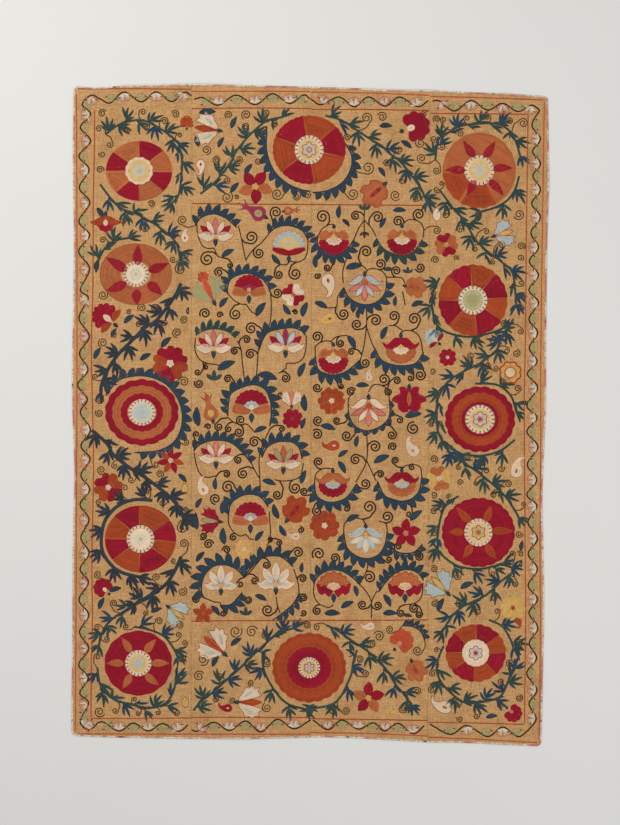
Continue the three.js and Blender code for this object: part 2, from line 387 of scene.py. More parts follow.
class Hoop:
    """Gathers the rows of stitching for each thread as the motifs are worked."""

    def __init__(self) -> None:
        """Starts with no rows and a fixed seed for the dye."""
        self.rows: dict[Thread, list[Row]] = {thread: [] for thread in Thread}
        self.dye = np.random.default_rng(41)

    def line(
        self,
        path: Iterable,
        thread: Thread,
        width: float = 2.4,
        closed: bool = False,
        lift: float = 0.25,
    ) -> None:
        """Works a line as one row, or as rows side by side where it is wide.

        Args:
            path: The line's points, already as close together as its bends need.
            thread: The silk.
            width: The line's whole width.
            closed: Whether it returns to its start.
            lift: How far it stands over what is already worked.
        """
        points = as_points(path)
        count = max(1, round(width / LINE_PITCH))
        each = width / count
        shade = float(self.dye.uniform(0.3, 0.7))
        for number in range(count):
            offset = (number - (count - 1) / 2) * each
            if closed:
                ring = points if shoelace(points) > 0 else points[::-1]
                moved = ring + inward(ring) * offset
            else:
                moved = beside(points, offset) if len(points) > 2 else points
            thin = eased(moved, closed, 19.0, 14.0)
            if len(thin) > 1:
                half = mitred(thin, closed, each * (0.5 if count == 1 else LINE_OVERLAP))
                self.rows[thread].append(Row(thin, closed, half, lift, shade))

    def fill(self, outline: Iterable, thread: Thread, lift: float = 0.0, rounds: int = 2) -> None:
        """Fills an outline with rows.

        Args:
            outline: The closed outline.
            thread: The silk.
            lift: How far it stands over what is already worked.
            rounds: How many rows follow its edge before the straight ones.
        """
        tone = float(self.dye.uniform(0.36, 0.64))
        for path, closed in filling_rows(as_points(outline), ROW_PITCH, rounds):
            thin = eased(path, closed)
            shade = min(max(tone + float(self.dye.uniform(-0.3, 0.3)), 0.0), 1.0)
            if len(thin) > 1:
                half = mitred(thin, closed, ROW_HALF_WIDTH)
                self.rows[thread].append(Row(thin, closed, half, lift, shade))

    def blade(
        self,
        start: Iterable,
        tip: Iterable,
        width: float,
        thread: Thread,
        bow: float = 0.0,
        border: Thread | None = None,
    ) -> None:
        """Works a slim pointed leaf as two tapering rows that meet along its middle.

        Args:
            start: Where it grows from.
            tip: Its far end.
            width: Its greatest width.
            thread: The silk.
            bow: How far its middle bends to its left.
            border: The silk that shows round it, or None.
        """
        half = width / 2 * np.array([0.42, 0.78, 1.0, 0.95, 0.68, 0.36, 0.08])
        spine, side = bent_line(start, tip, np.array([0.0, 0.16, 0.36, 0.56, 0.76, 0.91, 1.0]), bow)
        shade = float(self.dye.uniform(0.2, 0.8))
        lift = 0.1
        if border:
            self.rows[border].append(Row(spine, False, half + 1.9, 0.0, shade))
            lift = 0.6
        for hand in (-1, 1):
            path = spine + side * (hand * 0.5 * half)[:, None]
            self.rows[thread].append(Row(path, False, 0.62 * half, lift, shade + 0.12 * hand))

    def bordered(
        self,
        outline: Iterable,
        thread: Thread,
        border: Thread,
        width: float = 2.4,
        lift: float = 0.0,
    ) -> None:
        """Fills an outline and works a line of another silk round it."""
        self.fill(outline, thread, lift)
        self.line(spaced(as_points(outline), EDGE_STEP, True), border, width, True, lift + 0.25)


@dataclass(frozen=True)
class Rim:
    """One side of the cloth's outer rim, as a smooth curve through the places where it was measured.

    Attributes:
        rows: Pairs of a place along the side and the rim's distance out there.
    """

    rows: tuple[tuple[float, float], ...]

    def at(self, along: np.ndarray | float) -> np.ndarray:
        """Reads the rim.

        Args:
            along: Places along the side.

        Returns:
            How far out the rim is at each. Past either end the side is straight.
        """
        where, out = np.array(self.rows, float).T
        slope = np.empty_like(out)
        slope[1:-1] = (out[2:] - out[:-2]) / (where[2:] - where[:-2])
        slope[0] = (out[1] - out[0]) / (where[1] - where[0])
        slope[-1] = (out[-1] - out[-2]) / (where[-1] - where[-2])
        place = np.clip(np.asarray(along, float), where[0], where[-1])
        a = np.clip(np.searchsorted(where, place, side="right") - 1, 0, len(where) - 2)
        span = where[a + 1] - where[a]
        t = (place - where[a]) / span
        from_a = (2 * t**3 - 3 * t**2 + 1) * out[a] + (t**3 - 2 * t**2 + t) * span * slope[a]
        return from_a + (3 * t**2 - 2 * t**3) * out[a + 1] + (t**3 - t**2) * span * slope[a + 1]


@dataclass(frozen=True)
class Seam:
    """A straight seam between two strips.

    Attributes:
        bottom: Its x at the bottom of the cloth.
        top: Its x at the top.
    """

    bottom: float
    top: float

    def at(self, y: np.ndarray | float) -> np.ndarray:
        """The seam's x at a height on the cloth."""
        share = (np.asarray(y, float) + HALF_LENGTH) / (2 * HALF_LENGTH)
        return self.bottom + (self.top - self.bottom) * share


LEFT_RIM = Rim(
    (
        (-1148, -869), (-1080, -869), (-820, -866), (-520, -864), (-320, -860), (-220, -857), (-130, -860),
        (85, -867), (330, -864), (620, -860), (930, -864), (1176, -861),
    )
)
RIGHT_RIM = Rim(
    (
        (-1186, 840), (-1080, 843), (-900, 847), (-670, 851), (-450, 847), (-340, 843), (-110, 851),
        (20, 857), (260, 858), (620, 862), (850, 869), (1142, 865),
    )
)
TOP_RIM = Rim(
    (
        (-842, 1196), (-780, 1191), (-690, 1198), (-530, 1202), (-400, 1205), (-290, 1202), (-110, 1198),
        (35, 1194), (165, 1190), (270, 1184), (440, 1182), (560, 1176), (675, 1172), (845, 1162),
    )
)
BOTTOM_RIM = Rim(
    (
        (-850, -1167), (-780, -1171), (-600, -1175), (-290, -1179), (-70, -1175), (50, -1172),
        (195, -1177), (310, -1184), (415, -1190), (560, -1193), (690, -1198), (822, -1205),
    )
)
LEFT_SEAM = Seam(-434, -431)
MIDDLE_SEAM = Seam(-1, 6)
RIGHT_SEAM = Seam(427, 436)

# Where the cloth stands off the surface: centre, length, width, turn in degrees, height
RIPPLES = (
    (-433, 760, 640, 210, 90, 2.4),
    (-436, -560, 780, 220, 91, 2.8),
    (4, 330, 820, 200, 89, 2.2),
    (2, -800, 560, 200, 90, 2.6),
    (431, 590, 720, 220, 89, 2.6),
    (429, -420, 660, 210, 92, 2.9),
    (-770, -240, 340, 210, 4, 3.0),
    (760, -345, 360, 220, -6, 3.2),
    (770, 840, 320, 210, 12, 2.6),
    (-660, 640, 380, 220, 24, 1.8),
    (640, 130, 400, 240, -31, 1.9),
    (-210, -1090, 340, 210, 78, 2.4),
    (250, 1080, 340, 210, 97, 2.3),
    (745, -1100, 380, 230, 45, 3.4),
    (-760, 1090, 340, 220, -42, 2.8),
)


def ripple_height(x: np.ndarray, y: np.ndarray) -> np.ndarray:
    """Height of the cloth's underside over the surface, in millimetres.

    Args:
        x: Places across the cloth.
        y: Places along it.

    Returns:
        The heights.
    """
    height = np.zeros(np.broadcast(x, y).shape)
    for centre_x, centre_y, length, width, turn, peak in RIPPLES:
        c, s = math.cos(math.radians(turn)), math.sin(math.radians(turn))
        along = np.abs((x - centre_x) * c + (y - centre_y) * s) / (length / 2)
        across = np.abs((y - centre_y) * c - (x - centre_x) * s) / (width / 2)
        swell = np.cos(math.pi / 2 * np.clip(along, 0, 1)) ** 2
        height += peak * swell * np.cos(math.pi / 2 * np.clip(across, 0, 1)) ** 2
    return height


def pucker_height(x: np.ndarray, y: np.ndarray) -> np.ndarray:
    """The small puckers that stitching and age leave in the face of the cloth, in millimetres.

    Args:
        x: Places across the cloth.
        y: Places along it.

    Returns:
        The heights, above or below 0.
    """
    low = np.sin(x / 31 + 1.7 * np.sin(y / 67)) * np.sin(y / 43 + 1.3 * np.sin(x / 59 + 2))
    fine = np.sin(x / 13.7 + 2.1 * np.sin(y / 41 + 1)) * np.sin(y / 16.1 + 1.9 * np.sin(x / 37))
    return 0.3 * low + 0.16 * fine


def face_height(x: np.ndarray, y: np.ndarray) -> np.ndarray:
    """Height of the cloth's face over the surface, in millimetres."""
    return ripple_height(x, y) + CLOTH_THICKNESS + pucker_height(x, y)


class NodeBench:
    """Adds nodes to a tree and links them, one call for each node."""

    def __init__(self, tree: bpy.types.NodeTree) -> None:
        """Takes the tree to work on."""
        self.tree = tree

    def add(self, kind: str, inputs: dict | None = None, **settings: object) -> bpy.types.Node:
        """Adds a node.

        Args:
            kind: The node's type.
            inputs: For each input, by name or number, an output to link or a value to set.
            settings: Properties to set on the node.

        Returns:
            The node.
        """
        node = self.tree.nodes.new(kind)
        for name, value in settings.items():
            setattr(node, name, value)
        for key, value in (inputs or {}).items():
            socket = node.inputs[key]
            if isinstance(value, bpy.types.NodeSocket):
                self.tree.links.new(value, socket)
            else:
                socket.default_value = value
        return node

    def math(self, operation: str, *values: object) -> bpy.types.NodeSocket:
        """Adds a Math node and returns its output."""
        inputs = dict(enumerate(values))
        return self.add("ShaderNodeMath", inputs, operation=operation).outputs[0]

    def ramp(self, value: bpy.types.NodeSocket, low: float, high: float) -> bpy.types.NodeSocket:
        """Stretches a value so that low gives 0 and high gives 1, held at both ends."""
        inputs = {"Value": value, "From Min": low, "From Max": high}
        return self.add("ShaderNodeMapRange", inputs).outputs["Result"]

    def noise(
        self, place: bpy.types.NodeSocket, scale: tuple[float, float, float], detail: float = 2.0
    ) -> bpy.types.NodeSocket:
        """Adds a noise on places stretched by a scale for each axis.

        Args:
            place: The places, in metres.
            scale: Waves to the metre along each axis.
            detail: Octaves of finer noise.

        Returns:
            The noise, from 0 to 1.
        """
        stretched = self.add("ShaderNodeMapping", {"Vector": place, "Scale": scale}).outputs[0]
        inputs = {"Vector": stretched, "Scale": 1.0, "Detail": detail, "Roughness": 0.55}
        return self.add("ShaderNodeTexNoise", inputs).outputs[0]

    def blend(
        self, share: object, first: object, second: object, mode: str = "MIX"
    ) -> bpy.types.NodeSocket:
        """Mixes two colours.

        Args:
            share: How much of the second shows.
            first: A colour or an output.
            second: A colour or an output.
            mode: How they mix.

        Returns:
            The mixed colour.
        """
        node = self.add("ShaderNodeMix", data_type="RGBA", blend_type=mode)
        for number, value in ((0, share), (6, first), (7, second)):
            if isinstance(value, bpy.types.NodeSocket):
                self.tree.links.new(value, node.inputs[number])
            else:
                node.inputs[number].default_value = value if number == 0 else (*value, 1.0)
        return node.outputs[2]


def linear(red: int, green: int, blue: int) -> Colour:
    """A colour's light, from its display values of 0 to 255."""
    shares = [value / 255 for value in (red, green, blue)]
    return tuple(part / 12.92 if part < 0.04 else ((part + 0.055) / 1.055) ** 2.4 for part in shares)


def dyed(colour: Colour, share: float) -> Colour:
    """A colour made darker below a share of 1, or paler above it."""
    return tuple(min(part * share, 1.0) for part in colour)


def new_material(name: str) -> tuple[bpy.types.Material, NodeBench, bpy.types.NodeSocket]:
    """Makes a material.

    Args:
        name: Its name.

    Returns:
        The material, a bench on its nodes and its Object coordinates.
    """
    material = bpy.data.materials.new(name)
    material.use_nodes = True
    bench = NodeBench(material.node_tree)
    return material, bench, bench.add("ShaderNodeTexCoord").outputs["Object"]


def set_look(
    bench: NodeBench, colour: bpy.types.NodeSocket, look: dict[str, float], relief: tuple | None = None
) -> None:
    """Joins a finish to its material's shader.

    Args:
        bench: The material's bench.
        colour: The finish's colour.
        look: Values for the shader's other inputs, by name.
        relief: Height, strength and depth in metres of its relief, or None where it is smooth.
    """
    shader = bench.tree.nodes["Principled BSDF"]
    bench.tree.links.new(colour, shader.inputs["Base Color"])
    for name, value in look.items():
        shader.inputs[name].default_value = value
    if relief:
        bump = bench.add("ShaderNodeBump", dict(zip(("Height", "Strength", "Distance"), relief)))
        bench.tree.links.new(bump.outputs[0], shader.inputs["Normal"])


@dataclass(frozen=True)
class CottonFinish:
    """Hand-loomed, undyed cotton: a plain weave with slubs, soft stains and paler worn places.

    Attributes:
        ground: The cloth's usual colour.
        dusk: Its darker streaks.
        pale: Its paler threads.
        threads: Threads to the metre.
    """

    ground: Colour = linear(184, 139, 88)
    dusk: Colour = linear(138, 94, 52)
    pale: Colour = linear(214, 174, 122)
    threads: float = 720.0

    def material(self, name: str) -> bpy.types.Material:
        """Makes the finish.

        Args:
            name: The material's name.

        Returns:
            The material, which reads Object coordinates.
        """
        material, bench, place = new_material(name)
        warp = bench.noise(place, (330.0, 22.0, 1.0), 3.0)
        weft = bench.noise(place, (20.0, 300.0, 1.0), 3.0)
        cloud = bench.noise(place, (9.0, 7.0, 1.0), 4.0)
        blotch = bench.noise(place, (48.0, 36.0, 1.0), 3.0)
        speck = bench.noise(place, (210.0, 190.0, 1.0), 2.0)
        fleck = bench.noise(place, (170.0, 230.0, 1.0), 2.0)
        colour = bench.blend(bench.ramp(warp, 0.45, 0.8), self.ground, self.dusk)
        marks = (
            (weft, 0.46, 0.8, 0.8, self.pale),
            (cloud, 0.5, 0.78, 0.55, self.dusk),
            (blotch, 0.52, 0.8, 0.5, self.pale),
            (speck, 0.5, 0.72, 0.75, self.dusk),
            (fleck, 0.54, 0.74, 0.6, self.pale),
        )
        for noise, low, high, strength, tint in marks:
            share = bench.math("MULTIPLY", bench.ramp(noise, low, high), strength)
            colour = bench.blend(share, colour, tint)
        weave = self.weave(bench, place)
        slubs = bench.math("ADD", bench.math("MULTIPLY", warp, 0.9), bench.math("MULTIPLY", weft, 0.9))
        height = bench.math("ADD", bench.math("MULTIPLY", weave, 0.5), slubs)
        look = {"Roughness": 0.93, "Specular IOR Level": 0.2, "Sheen Weight": 0.12, "Sheen Roughness": 0.6}
        set_look(bench, colour, look, (height, 0.55, 0.0006))
        return material

    def weave(self, bench: NodeBench, place: bpy.types.NodeSocket) -> bpy.types.NodeSocket:
        """Adds the plain weave's over and under.

        Args:
            bench: The material's bench.
            place: Object coordinates.

        Returns:
            The height, from -1 to 1.
        """
        parts = bench.add("ShaderNodeSeparateXYZ", {0: place}).outputs
        rate = self.threads * math.pi
        across = bench.math("SINE", bench.math("MULTIPLY", parts[0], rate))
        along = bench.math("SINE", bench.math("MULTIPLY", parts[1], rate))
        return bench.math("MULTIPLY", across, along)


@dataclass(frozen=True)
class SilkFinish:
    """Loosely twisted silk worked in chain stitch.

    Attributes:
        colour: The dye's usual colour.
        deep: How dark its darkest rows are, as a share of the colour.
        worn: How pale its palest rows are.
        fade: How much it fades in broad patches, from 0 to 1.
        link: Length of one chain link, in metres.
    """

    colour: Colour
    deep: float = 0.72
    worn: float = 1.3
    fade: float = 0.35
    link: float = 0.0036

    def material(self, name: str) -> bpy.types.Material:
        """Makes the finish.

        Args:
            name: The material's name.

        Returns:
            The material, which reads the rows' own map and shade.
        """
        material, bench, place = new_material(name)
        row = bench.add("ShaderNodeUVMap", uv_map="rows").outputs[0]
        shade = bench.add("ShaderNodeAttribute", attribute_name="shade").outputs["Fac"]
        uneven = bench.noise(place, (70.0, 70.0, 1.0), 3.0)
        cloud = bench.noise(place, (14.0, 14.0, 1.0), 2.0)
        tone = bench.math("ADD", shade, bench.math("MULTIPLY", bench.math("SUBTRACT", uneven, 0.5), 0.9))
        deep, worn = dyed(self.colour, self.deep), dyed(self.colour, self.worn)
        colour = bench.blend(bench.ramp(tone, 0.0, 1.0), deep, worn)
        faded = bench.math("MULTIPLY", bench.ramp(cloud, 0.48, 0.8), self.fade)
        colour = bench.blend(faded, colour, dyed(self.colour, self.worn * 1.15))
        parts = bench.add("ShaderNodeSeparateXYZ", {0: row}).outputs
        across = bench.math("ABSOLUTE", bench.math("SUBTRACT", parts[1], 0.5))
        lean = bench.math("SUBTRACT", bench.math("MULTIPLY", parts[0], 1 / self.link), across)
        links = bench.math("SINE", bench.math("MULTIPLY", lean, 2 * math.pi))
        strand = bench.noise(row, (900.0, 40.0, 1.0), 2.0)
        height = bench.math("ADD", links, bench.math("MULTIPLY", strand, 0.8))
        look = {"Roughness": 0.62, "Specular IOR Level": 0.16, "Sheen Weight": 0.02}
        set_look(bench, colour, look, (height, 0.5, 0.0003))
        return material


@dataclass(frozen=True)
class BraidFinish:
    """Old braid: undyed cotton with patches of rose and plum silk left on it, worn at the edge.

    Attributes:
        undyed: The bare cotton.
        dull: The soiled cotton between its ribs.
        rose: The rose silk.
        plum: The plum silk.
    """

    undyed: Colour = linear(220, 204, 186)
    dull: Colour = linear(152, 126, 98)
    rose: Colour = linear(186, 112, 104)
    plum: Colour = linear(92, 62, 74)

    def material(self, name: str) -> bpy.types.Material:
        """Makes the finish.

        Args:
            name: The material's name.

        Returns:
            The material, which reads Object coordinates.
        """
        material, bench, place = new_material(name)
        patches = bench.noise(place, (11.0, 11.0, 1.0), 2.0)
        speckle = bench.noise(place, (120.0, 120.0, 60.0), 3.0)
        dots = bench.noise(place, (34.0, 34.0, 1.0), 3.0)
        colour = bench.blend(bench.ramp(speckle, 0.42, 0.68), self.undyed, self.dull)
        colour = bench.blend(bench.ramp(patches, 0.5, 0.6), colour, self.rose)
        colour = bench.blend(bench.ramp(dots, 0.6, 0.7), colour, self.plum)
        ribs = bench.add(
            "ShaderNodeTexWave",
            {"Vector": place, "Scale": 110.0, "Distortion": 1.5, "Detail": 1.0},
            bands_direction="DIAGONAL",
        ).outputs["Fac"]
        height = bench.math("ADD", ribs, speckle)
        set_look(bench, colour, {"Roughness": 0.9, "Specular IOR Level": 0.2}, (height, 0.7, 0.0006))
        return material


@dataclass(frozen=True)
class FloorFinish:
    """A plain pale studio floor.

    Attributes:
        colour: Its colour.
    """

    colour: Colour = linear(214, 213, 210)

    def material(self, name: str) -> bpy.types.Material:
        """Makes the finish.

        Args:
            name: The material's name.

        Returns:
            The material, which reads Object coordinates.
        """
        material, bench, place = new_material(name)
        colour = bench.blend(bench.noise(place, (2.0, 2.0, 1.0)), self.colour, dyed(self.colour, 0.97))
        set_look(bench, colour, {"Roughness": 0.85})
        return material


def in_scene(name: str, data: bpy.types.ID) -> bpy.types.Object:
    """Puts a mesh, lamp or camera in the scene as an object of its own.

    Args:
        name: The object's name.
        data: What it holds.

    Returns:
        The object, at the origin.
    """
    obj = bpy.data.objects.new(name, data)
    bpy.context.scene.collection.objects.link(obj)
    return obj


def mesh_object(name: str, vertices: np.ndarray, faces: Sequence) -> bpy.types.Object:
    """Makes a mesh object from places in millimetres.

    Args:
        name: The object's name.
        vertices: Places, one row each.
        faces: Lists of vertex numbers.

    Returns:
        The object, at the origin.
    """
    mesh = bpy.data.meshes.new(name)
    mesh.from_pydata((vertices * MM).tolist(), [], faces)
    mesh.update()
    return in_scene(name, mesh)


def set_inputs(modifier: bpy.types.Modifier, values: dict[str, object]) -> None:
    """Sets a Geometry Nodes modifier's inputs, named as the tree names them.

    Args:
        modifier: The modifier.
        values: A value for each input, by name.
    """
    for item in modifier.node_group.interface.items_tree:
        if item.item_type == "SOCKET" and item.in_out == "INPUT" and item.name in values:
            modifier[item.identifier] = values[item.name]


def baked(name: str, source: bpy.types.Object, tree: bpy.types.NodeTree, values: dict) -> bpy.types.Object:
    """Runs a Geometry Nodes tree on an object and keeps only the plain mesh that it makes.

    Args:
        name: The new object's name.
        source: The object that the tree works on, which is removed.
        tree: The tree.
        values: The tree's inputs, by name.

    Returns:
        The new object, with no modifier.
    """
    modifier = source.modifiers.new("rows", "NODES")
    modifier.node_group = tree
    set_inputs(modifier, values)
    graph = bpy.context.evaluated_depsgraph_get()
    mesh = bpy.data.meshes.new_from_object(source.evaluated_get(graph), depsgraph=graph)
    mesh.name = name
    source.modifiers.remove(modifier)
    bpy.data.objects.remove(source)
    return in_scene(name, mesh)


def new_tree(name: str, inputs: dict[str, str]) -> tuple[bpy.types.NodeTree, NodeBench, dict]:
    """Starts a Geometry Nodes tree.

    Args:
        name: The tree's name.
        inputs: Each input's name and kind of socket.

    Returns:
        The tree, a bench on it and its inputs' outputs by name.
    """
    tree = bpy.data.node_groups.new(name, "GeometryNodeTree")
    tree.interface.new_socket("Geometry", in_out="INPUT", socket_type="NodeSocketGeometry")
    tree.interface.new_socket("Geometry", in_out="OUTPUT", socket_type="NodeSocketGeometry")
    for title, kind in inputs.items():
        tree.interface.new_socket(title, in_out="INPUT", socket_type=kind)
    bench = NodeBench(tree)
    return tree, bench, dict(bench.add("NodeGroupInput").outputs.items())


def row_tree() -> bpy.types.NodeTree:
    """Builds the tree that sweeps a low crowned section along rows of stitching.

    Returns:
        The tree. Its rows carry half_width and shade on their points.
    """
    sockets = {"Crown": "NodeSocketFloat", "Sides": "NodeSocketInt", "Thread": "NodeSocketMaterial"}
    tree, bench, given = new_tree("stitched_rows", sockets)
    curve = bench.add("GeometryNodeMeshToCurve", {0: given["Geometry"]}).outputs[0]
    curve = bench.add("GeometryNodeSetCurveNormal", {0: curve}, mode="Z_UP").outputs[0]
    along = bench.add("GeometryNodeSplineParameter").outputs["Length"]
    kept = bench.add("GeometryNodeStoreNamedAttribute", {0: curve, "Name": "along", "Value": along})
    width = bench.add("GeometryNodeInputNamedAttribute", {"Name": "half_width"}).outputs[0]
    ring = bench.add("GeometryNodeCurvePrimitiveCircle", {"Resolution": given["Sides"], "Radius": 1.0})
    share = bench.add("GeometryNodeSplineParameter").outputs["Factor"]
    inputs = {0: ring.outputs[0], "Name": "across", "Value": share}
    section = bench.add("GeometryNodeStoreNamedAttribute", inputs)
    scale = bench.add("ShaderNodeCombineXYZ", {0: 1.155, 1: given["Crown"], 2: 1.0}).outputs[0]
    inputs = {0: section.outputs[0], "Rotation": (0.0, 0.0, math.radians(30)), "Scale": (1.0, 1.0, 1.0)}
    turned_ring = bench.add("GeometryNodeTransform", inputs).outputs[0]
    low = bench.add("GeometryNodeTransform", {0: turned_ring, "Scale": scale}).outputs[0]
    inputs = {"Curve": kept.outputs[0], "Profile Curve": low, "Scale": width, "Fill Caps": True}
    swept = bench.add("GeometryNodeCurveToMesh", inputs)
    parts = [bench.add("GeometryNodeInputNamedAttribute", {"Name": name}) for name in ("along", "across")]
    both = bench.add("ShaderNodeCombineXYZ", {0: parts[0].outputs[0], 1: parts[1].outputs[0]}).outputs[0]
    inputs = {0: swept.outputs[0], "Name": "rows", "Value": both}
    mapped = bench.add("GeometryNodeStoreNamedAttribute", inputs, data_type="FLOAT2", domain="CORNER")
    rounded = bench.add("GeometryNodeSetShadeSmooth", {0: mapped.outputs[0]}).outputs[0]
    real = bench.add("GeometryNodeRealizeInstances", {0: rounded}).outputs[0]
    dressed = bench.add("GeometryNodeSetMaterial", {0: real, "Material": given["Thread"]}).outputs[0]
    bench.add("NodeGroupOutput", {0: dressed})
    return tree


def stitch_tree() -> bpy.types.NodeTree:
    """Builds the tree that lays single stitches along a line, each with its own turn and length.

    Returns:
        The tree.
    """
    sizes = ("Spacing", "Turn", "Length", "Width", "Unevenness")
    sockets = {name: "NodeSocketFloat" for name in sizes}
    sockets |= {"Seed": "NodeSocketInt", "Thread": "NodeSocketMaterial"}
    tree, bench, given = new_tree("single_stitches", sockets)
    curve = bench.add("GeometryNodeMeshToCurve", {0: given["Geometry"]}).outputs[0]
    points = bench.add("GeometryNodeCurveToPoints", {0: curve, "Length": given["Spacing"]}, mode="LENGTH")
    uneven = given["Unevenness"]
    less = bench.math("MULTIPLY", uneven, -1.0)
    inputs = {2: less, 3: uneven, "Seed": given["Seed"]}
    swing = bench.add("FunctionNodeRandomValue", inputs, data_type="FLOAT")
    tilt = bench.math("ADD", given["Turn"], swing.outputs[1])
    turn = bench.add("ShaderNodeCombineXYZ", {2: tilt}).outputs[0]
    inputs = {"Vector": points.outputs["Tangent"]}
    heading = bench.add("FunctionNodeAlignRotationToVector", inputs, axis="X").outputs[0]
    spun = bench.add("FunctionNodeRotateRotation", {0: heading, 1: turn}, rotation_space="LOCAL")
    bead = bench.add("GeometryNodeMeshIcoSphere", {"Radius": 0.5, "Subdivisions": 1})
    other = bench.math("ADD", given["Seed"], 7.0)
    size = bench.add("FunctionNodeRandomValue", {2: 0.75, 3: 1.2, "Seed": other}, data_type="FLOAT")
    long = bench.math("MULTIPLY", given["Length"], size.outputs[1])
    scale = bench.add("ShaderNodeCombineXYZ", {0: long, 1: given["Width"], 2: given["Width"]}).outputs[0]
    inputs = {
        0: points.outputs[0], "Instance": bead.outputs[0], "Rotation": spun.outputs[0], "Scale": scale
    }
    laid = bench.add("GeometryNodeInstanceOnPoints", inputs).outputs[0]
    real = bench.add("GeometryNodeRealizeInstances", {0: laid}).outputs[0]
    rounded = bench.add("GeometryNodeSetShadeSmooth", {0: real}).outputs[0]
    dressed = bench.add("GeometryNodeSetMaterial", {0: rounded, "Material": given["Thread"]}).outputs[0]
    bench.add("NodeGroupOutput", {0: dressed})
    return tree


def path_object(name: str, rows: Sequence[Row], base: float) -> bpy.types.Object:
    """Lays rows on the cloth as a mesh of edges.

    Args:
        name: The object's name.
        rows: The rows.
        base: How far the rows' middle stands over the cloth's face, in millimetres.

    Returns:
        The object, with half_width and shade on its points.
    """
    places, widths, shades, edges, start = [], [], [], [], 0
    for row in rows:
        x, y = row.path.T
        places.append(np.column_stack([x, y, face_height(x, y) + base + row.lift]))
        count = len(row.path)
        widths.append(row.half_width * MM)
        shades.append(np.full(count, row.shade))
        numbers = np.arange(start, start + count)
        pairs = np.column_stack([numbers, np.roll(numbers, -1)])
        edges.append(pairs if row.closed else pairs[:-1])
        start += count
    mesh = bpy.data.meshes.new(name)
    mesh.from_pydata((np.vstack(places) * MM).tolist(), np.vstack(edges).tolist(), [])
    for title, values in (("half_width", widths), ("shade", shades)):
        attribute = mesh.attributes.new(title, "FLOAT", "POINT")
        attribute.data.foreach_set("value", np.concatenate(values).astype(np.float32))
    return in_scene(name, mesh)


@dataclass
class ClothStrip:
    """One strip of ground cloth, laid flat on the surface with its ripples and puckers.

    Attributes:
        name: The piece's name.
        node: The CAD node that it stands for.
        left: Its left seam, or None where its left side is the rim.
        right: Its right seam, or None where its right side is the rim.
        cell: Size of one cell of its lattice.
    """

    name: str
    node: str
    left: Seam | None
    right: Seam | None
    cell: float = 13.5

    def left_side(self, y: np.ndarray | float) -> np.ndarray:
        """The x of the left side at a height on the cloth."""
        return self.left.at(y) + PIECE_GAP / 2 if self.left else LEFT_RIM.at(y) + CLOTH_INSET

    def right_side(self, y: np.ndarray | float) -> np.ndarray:
        """The x of the right side at a height on the cloth."""
        return self.right.at(y) - PIECE_GAP / 2 if self.right else RIGHT_RIM.at(y) - CLOTH_INSET

    def across(self, share: np.ndarray, y: np.ndarray | float) -> np.ndarray:
        """The x at a share of the width from the left side."""
        left = self.left_side(y)
        return left + (self.right_side(y) - left) * share

    def column_end(self, share: np.ndarray, rim: Rim, sign: float) -> np.ndarray:
        """Where each column ends at the top or bottom rim.

        Args:
            share: Each column's share of the width.
            rim: The top or bottom rim.
            sign: 1 at the top and -1 at the bottom.

        Returns:
            The y of each column's end, with the corners rounded.
        """
        y = rim.at(self.across(share, 0.0))
        x = self.across(share, y)
        gap = np.full_like(share, np.inf)
        if not self.left:
            gap = np.minimum(gap, x - self.left_side(y))
        if not self.right:
            gap = np.minimum(gap, self.right_side(y) - x)
        radius = CORNER_RADIUS - CLOTH_INSET
        inside = np.clip(radius - gap, 0.0, radius)
        drop = radius - np.sqrt(radius**2 - inside**2)
        return rim.at(x) - sign * (CLOTH_INSET + drop)

    def shares(self) -> np.ndarray:
        """Shares of the width where the columns stand, closer together at a rounded corner."""
        width = float(self.right_side(0.0) - self.left_side(0.0))
        even = np.linspace(0.0, 1.0, int(width / self.cell) + 1)
        turns = np.radians(np.linspace(0, 90, 7)[1:-1])
        bend = (CORNER_RADIUS - CLOTH_INSET) * (1 - np.cos(turns)) / width
        if not self.left:
            even = np.concatenate([even, bend])
        if not self.right:
            even = np.concatenate([even, 1 - bend])
        return np.unique(even)

    def build(self, finish: CottonFinish) -> bpy.types.Object:
        """Makes the strip as a closed sheet.

        Args:
            finish: The cotton's finish.

        Returns:
            The strip.
        """
        shares = self.shares()
        low = self.column_end(shares, BOTTOM_RIM, -1.0)
        high = self.column_end(shares, TOP_RIM, 1.0)
        rows = int((high - low).max() / self.cell)
        steps = np.linspace(0.0, 1.0, rows + 1)[:, None]
        y = low + (high - low) * steps
        x = self.across(np.broadcast_to(shares, y.shape), y)
        top = np.column_stack([x.ravel(), y.ravel(), face_height(x, y).ravel()])
        under = np.column_stack([x.ravel(), y.ravel(), ripple_height(x, y).ravel()])
        columns = len(shares)
        number = np.arange(len(top)).reshape(rows + 1, columns)
        a, b = number[:-1, :-1].ravel(), number[:-1, 1:].ravel()
        c, d = number[1:, 1:].ravel(), number[1:, :-1].ravel()
        layer = len(top)
        faces = [np.column_stack([a, b, c, d]), np.column_stack([a, d, c, b]) + layer]
        rim = np.concatenate([number[0, :-1], number[:-1, -1], number[-1, :0:-1], number[:0:-1, 0]])
        beyond = np.roll(rim, -1)
        faces.append(np.column_stack([rim, rim + layer, beyond + layer, beyond]))
        obj = mesh_object(self.name, np.vstack([top, under]), np.vstack(faces).tolist())
        obj.data.shade_smooth()
        obj.data.set_sharp_from_angle(angle=math.radians(50))
        obj.data.materials.append(finish.material(self.name))
        return obj


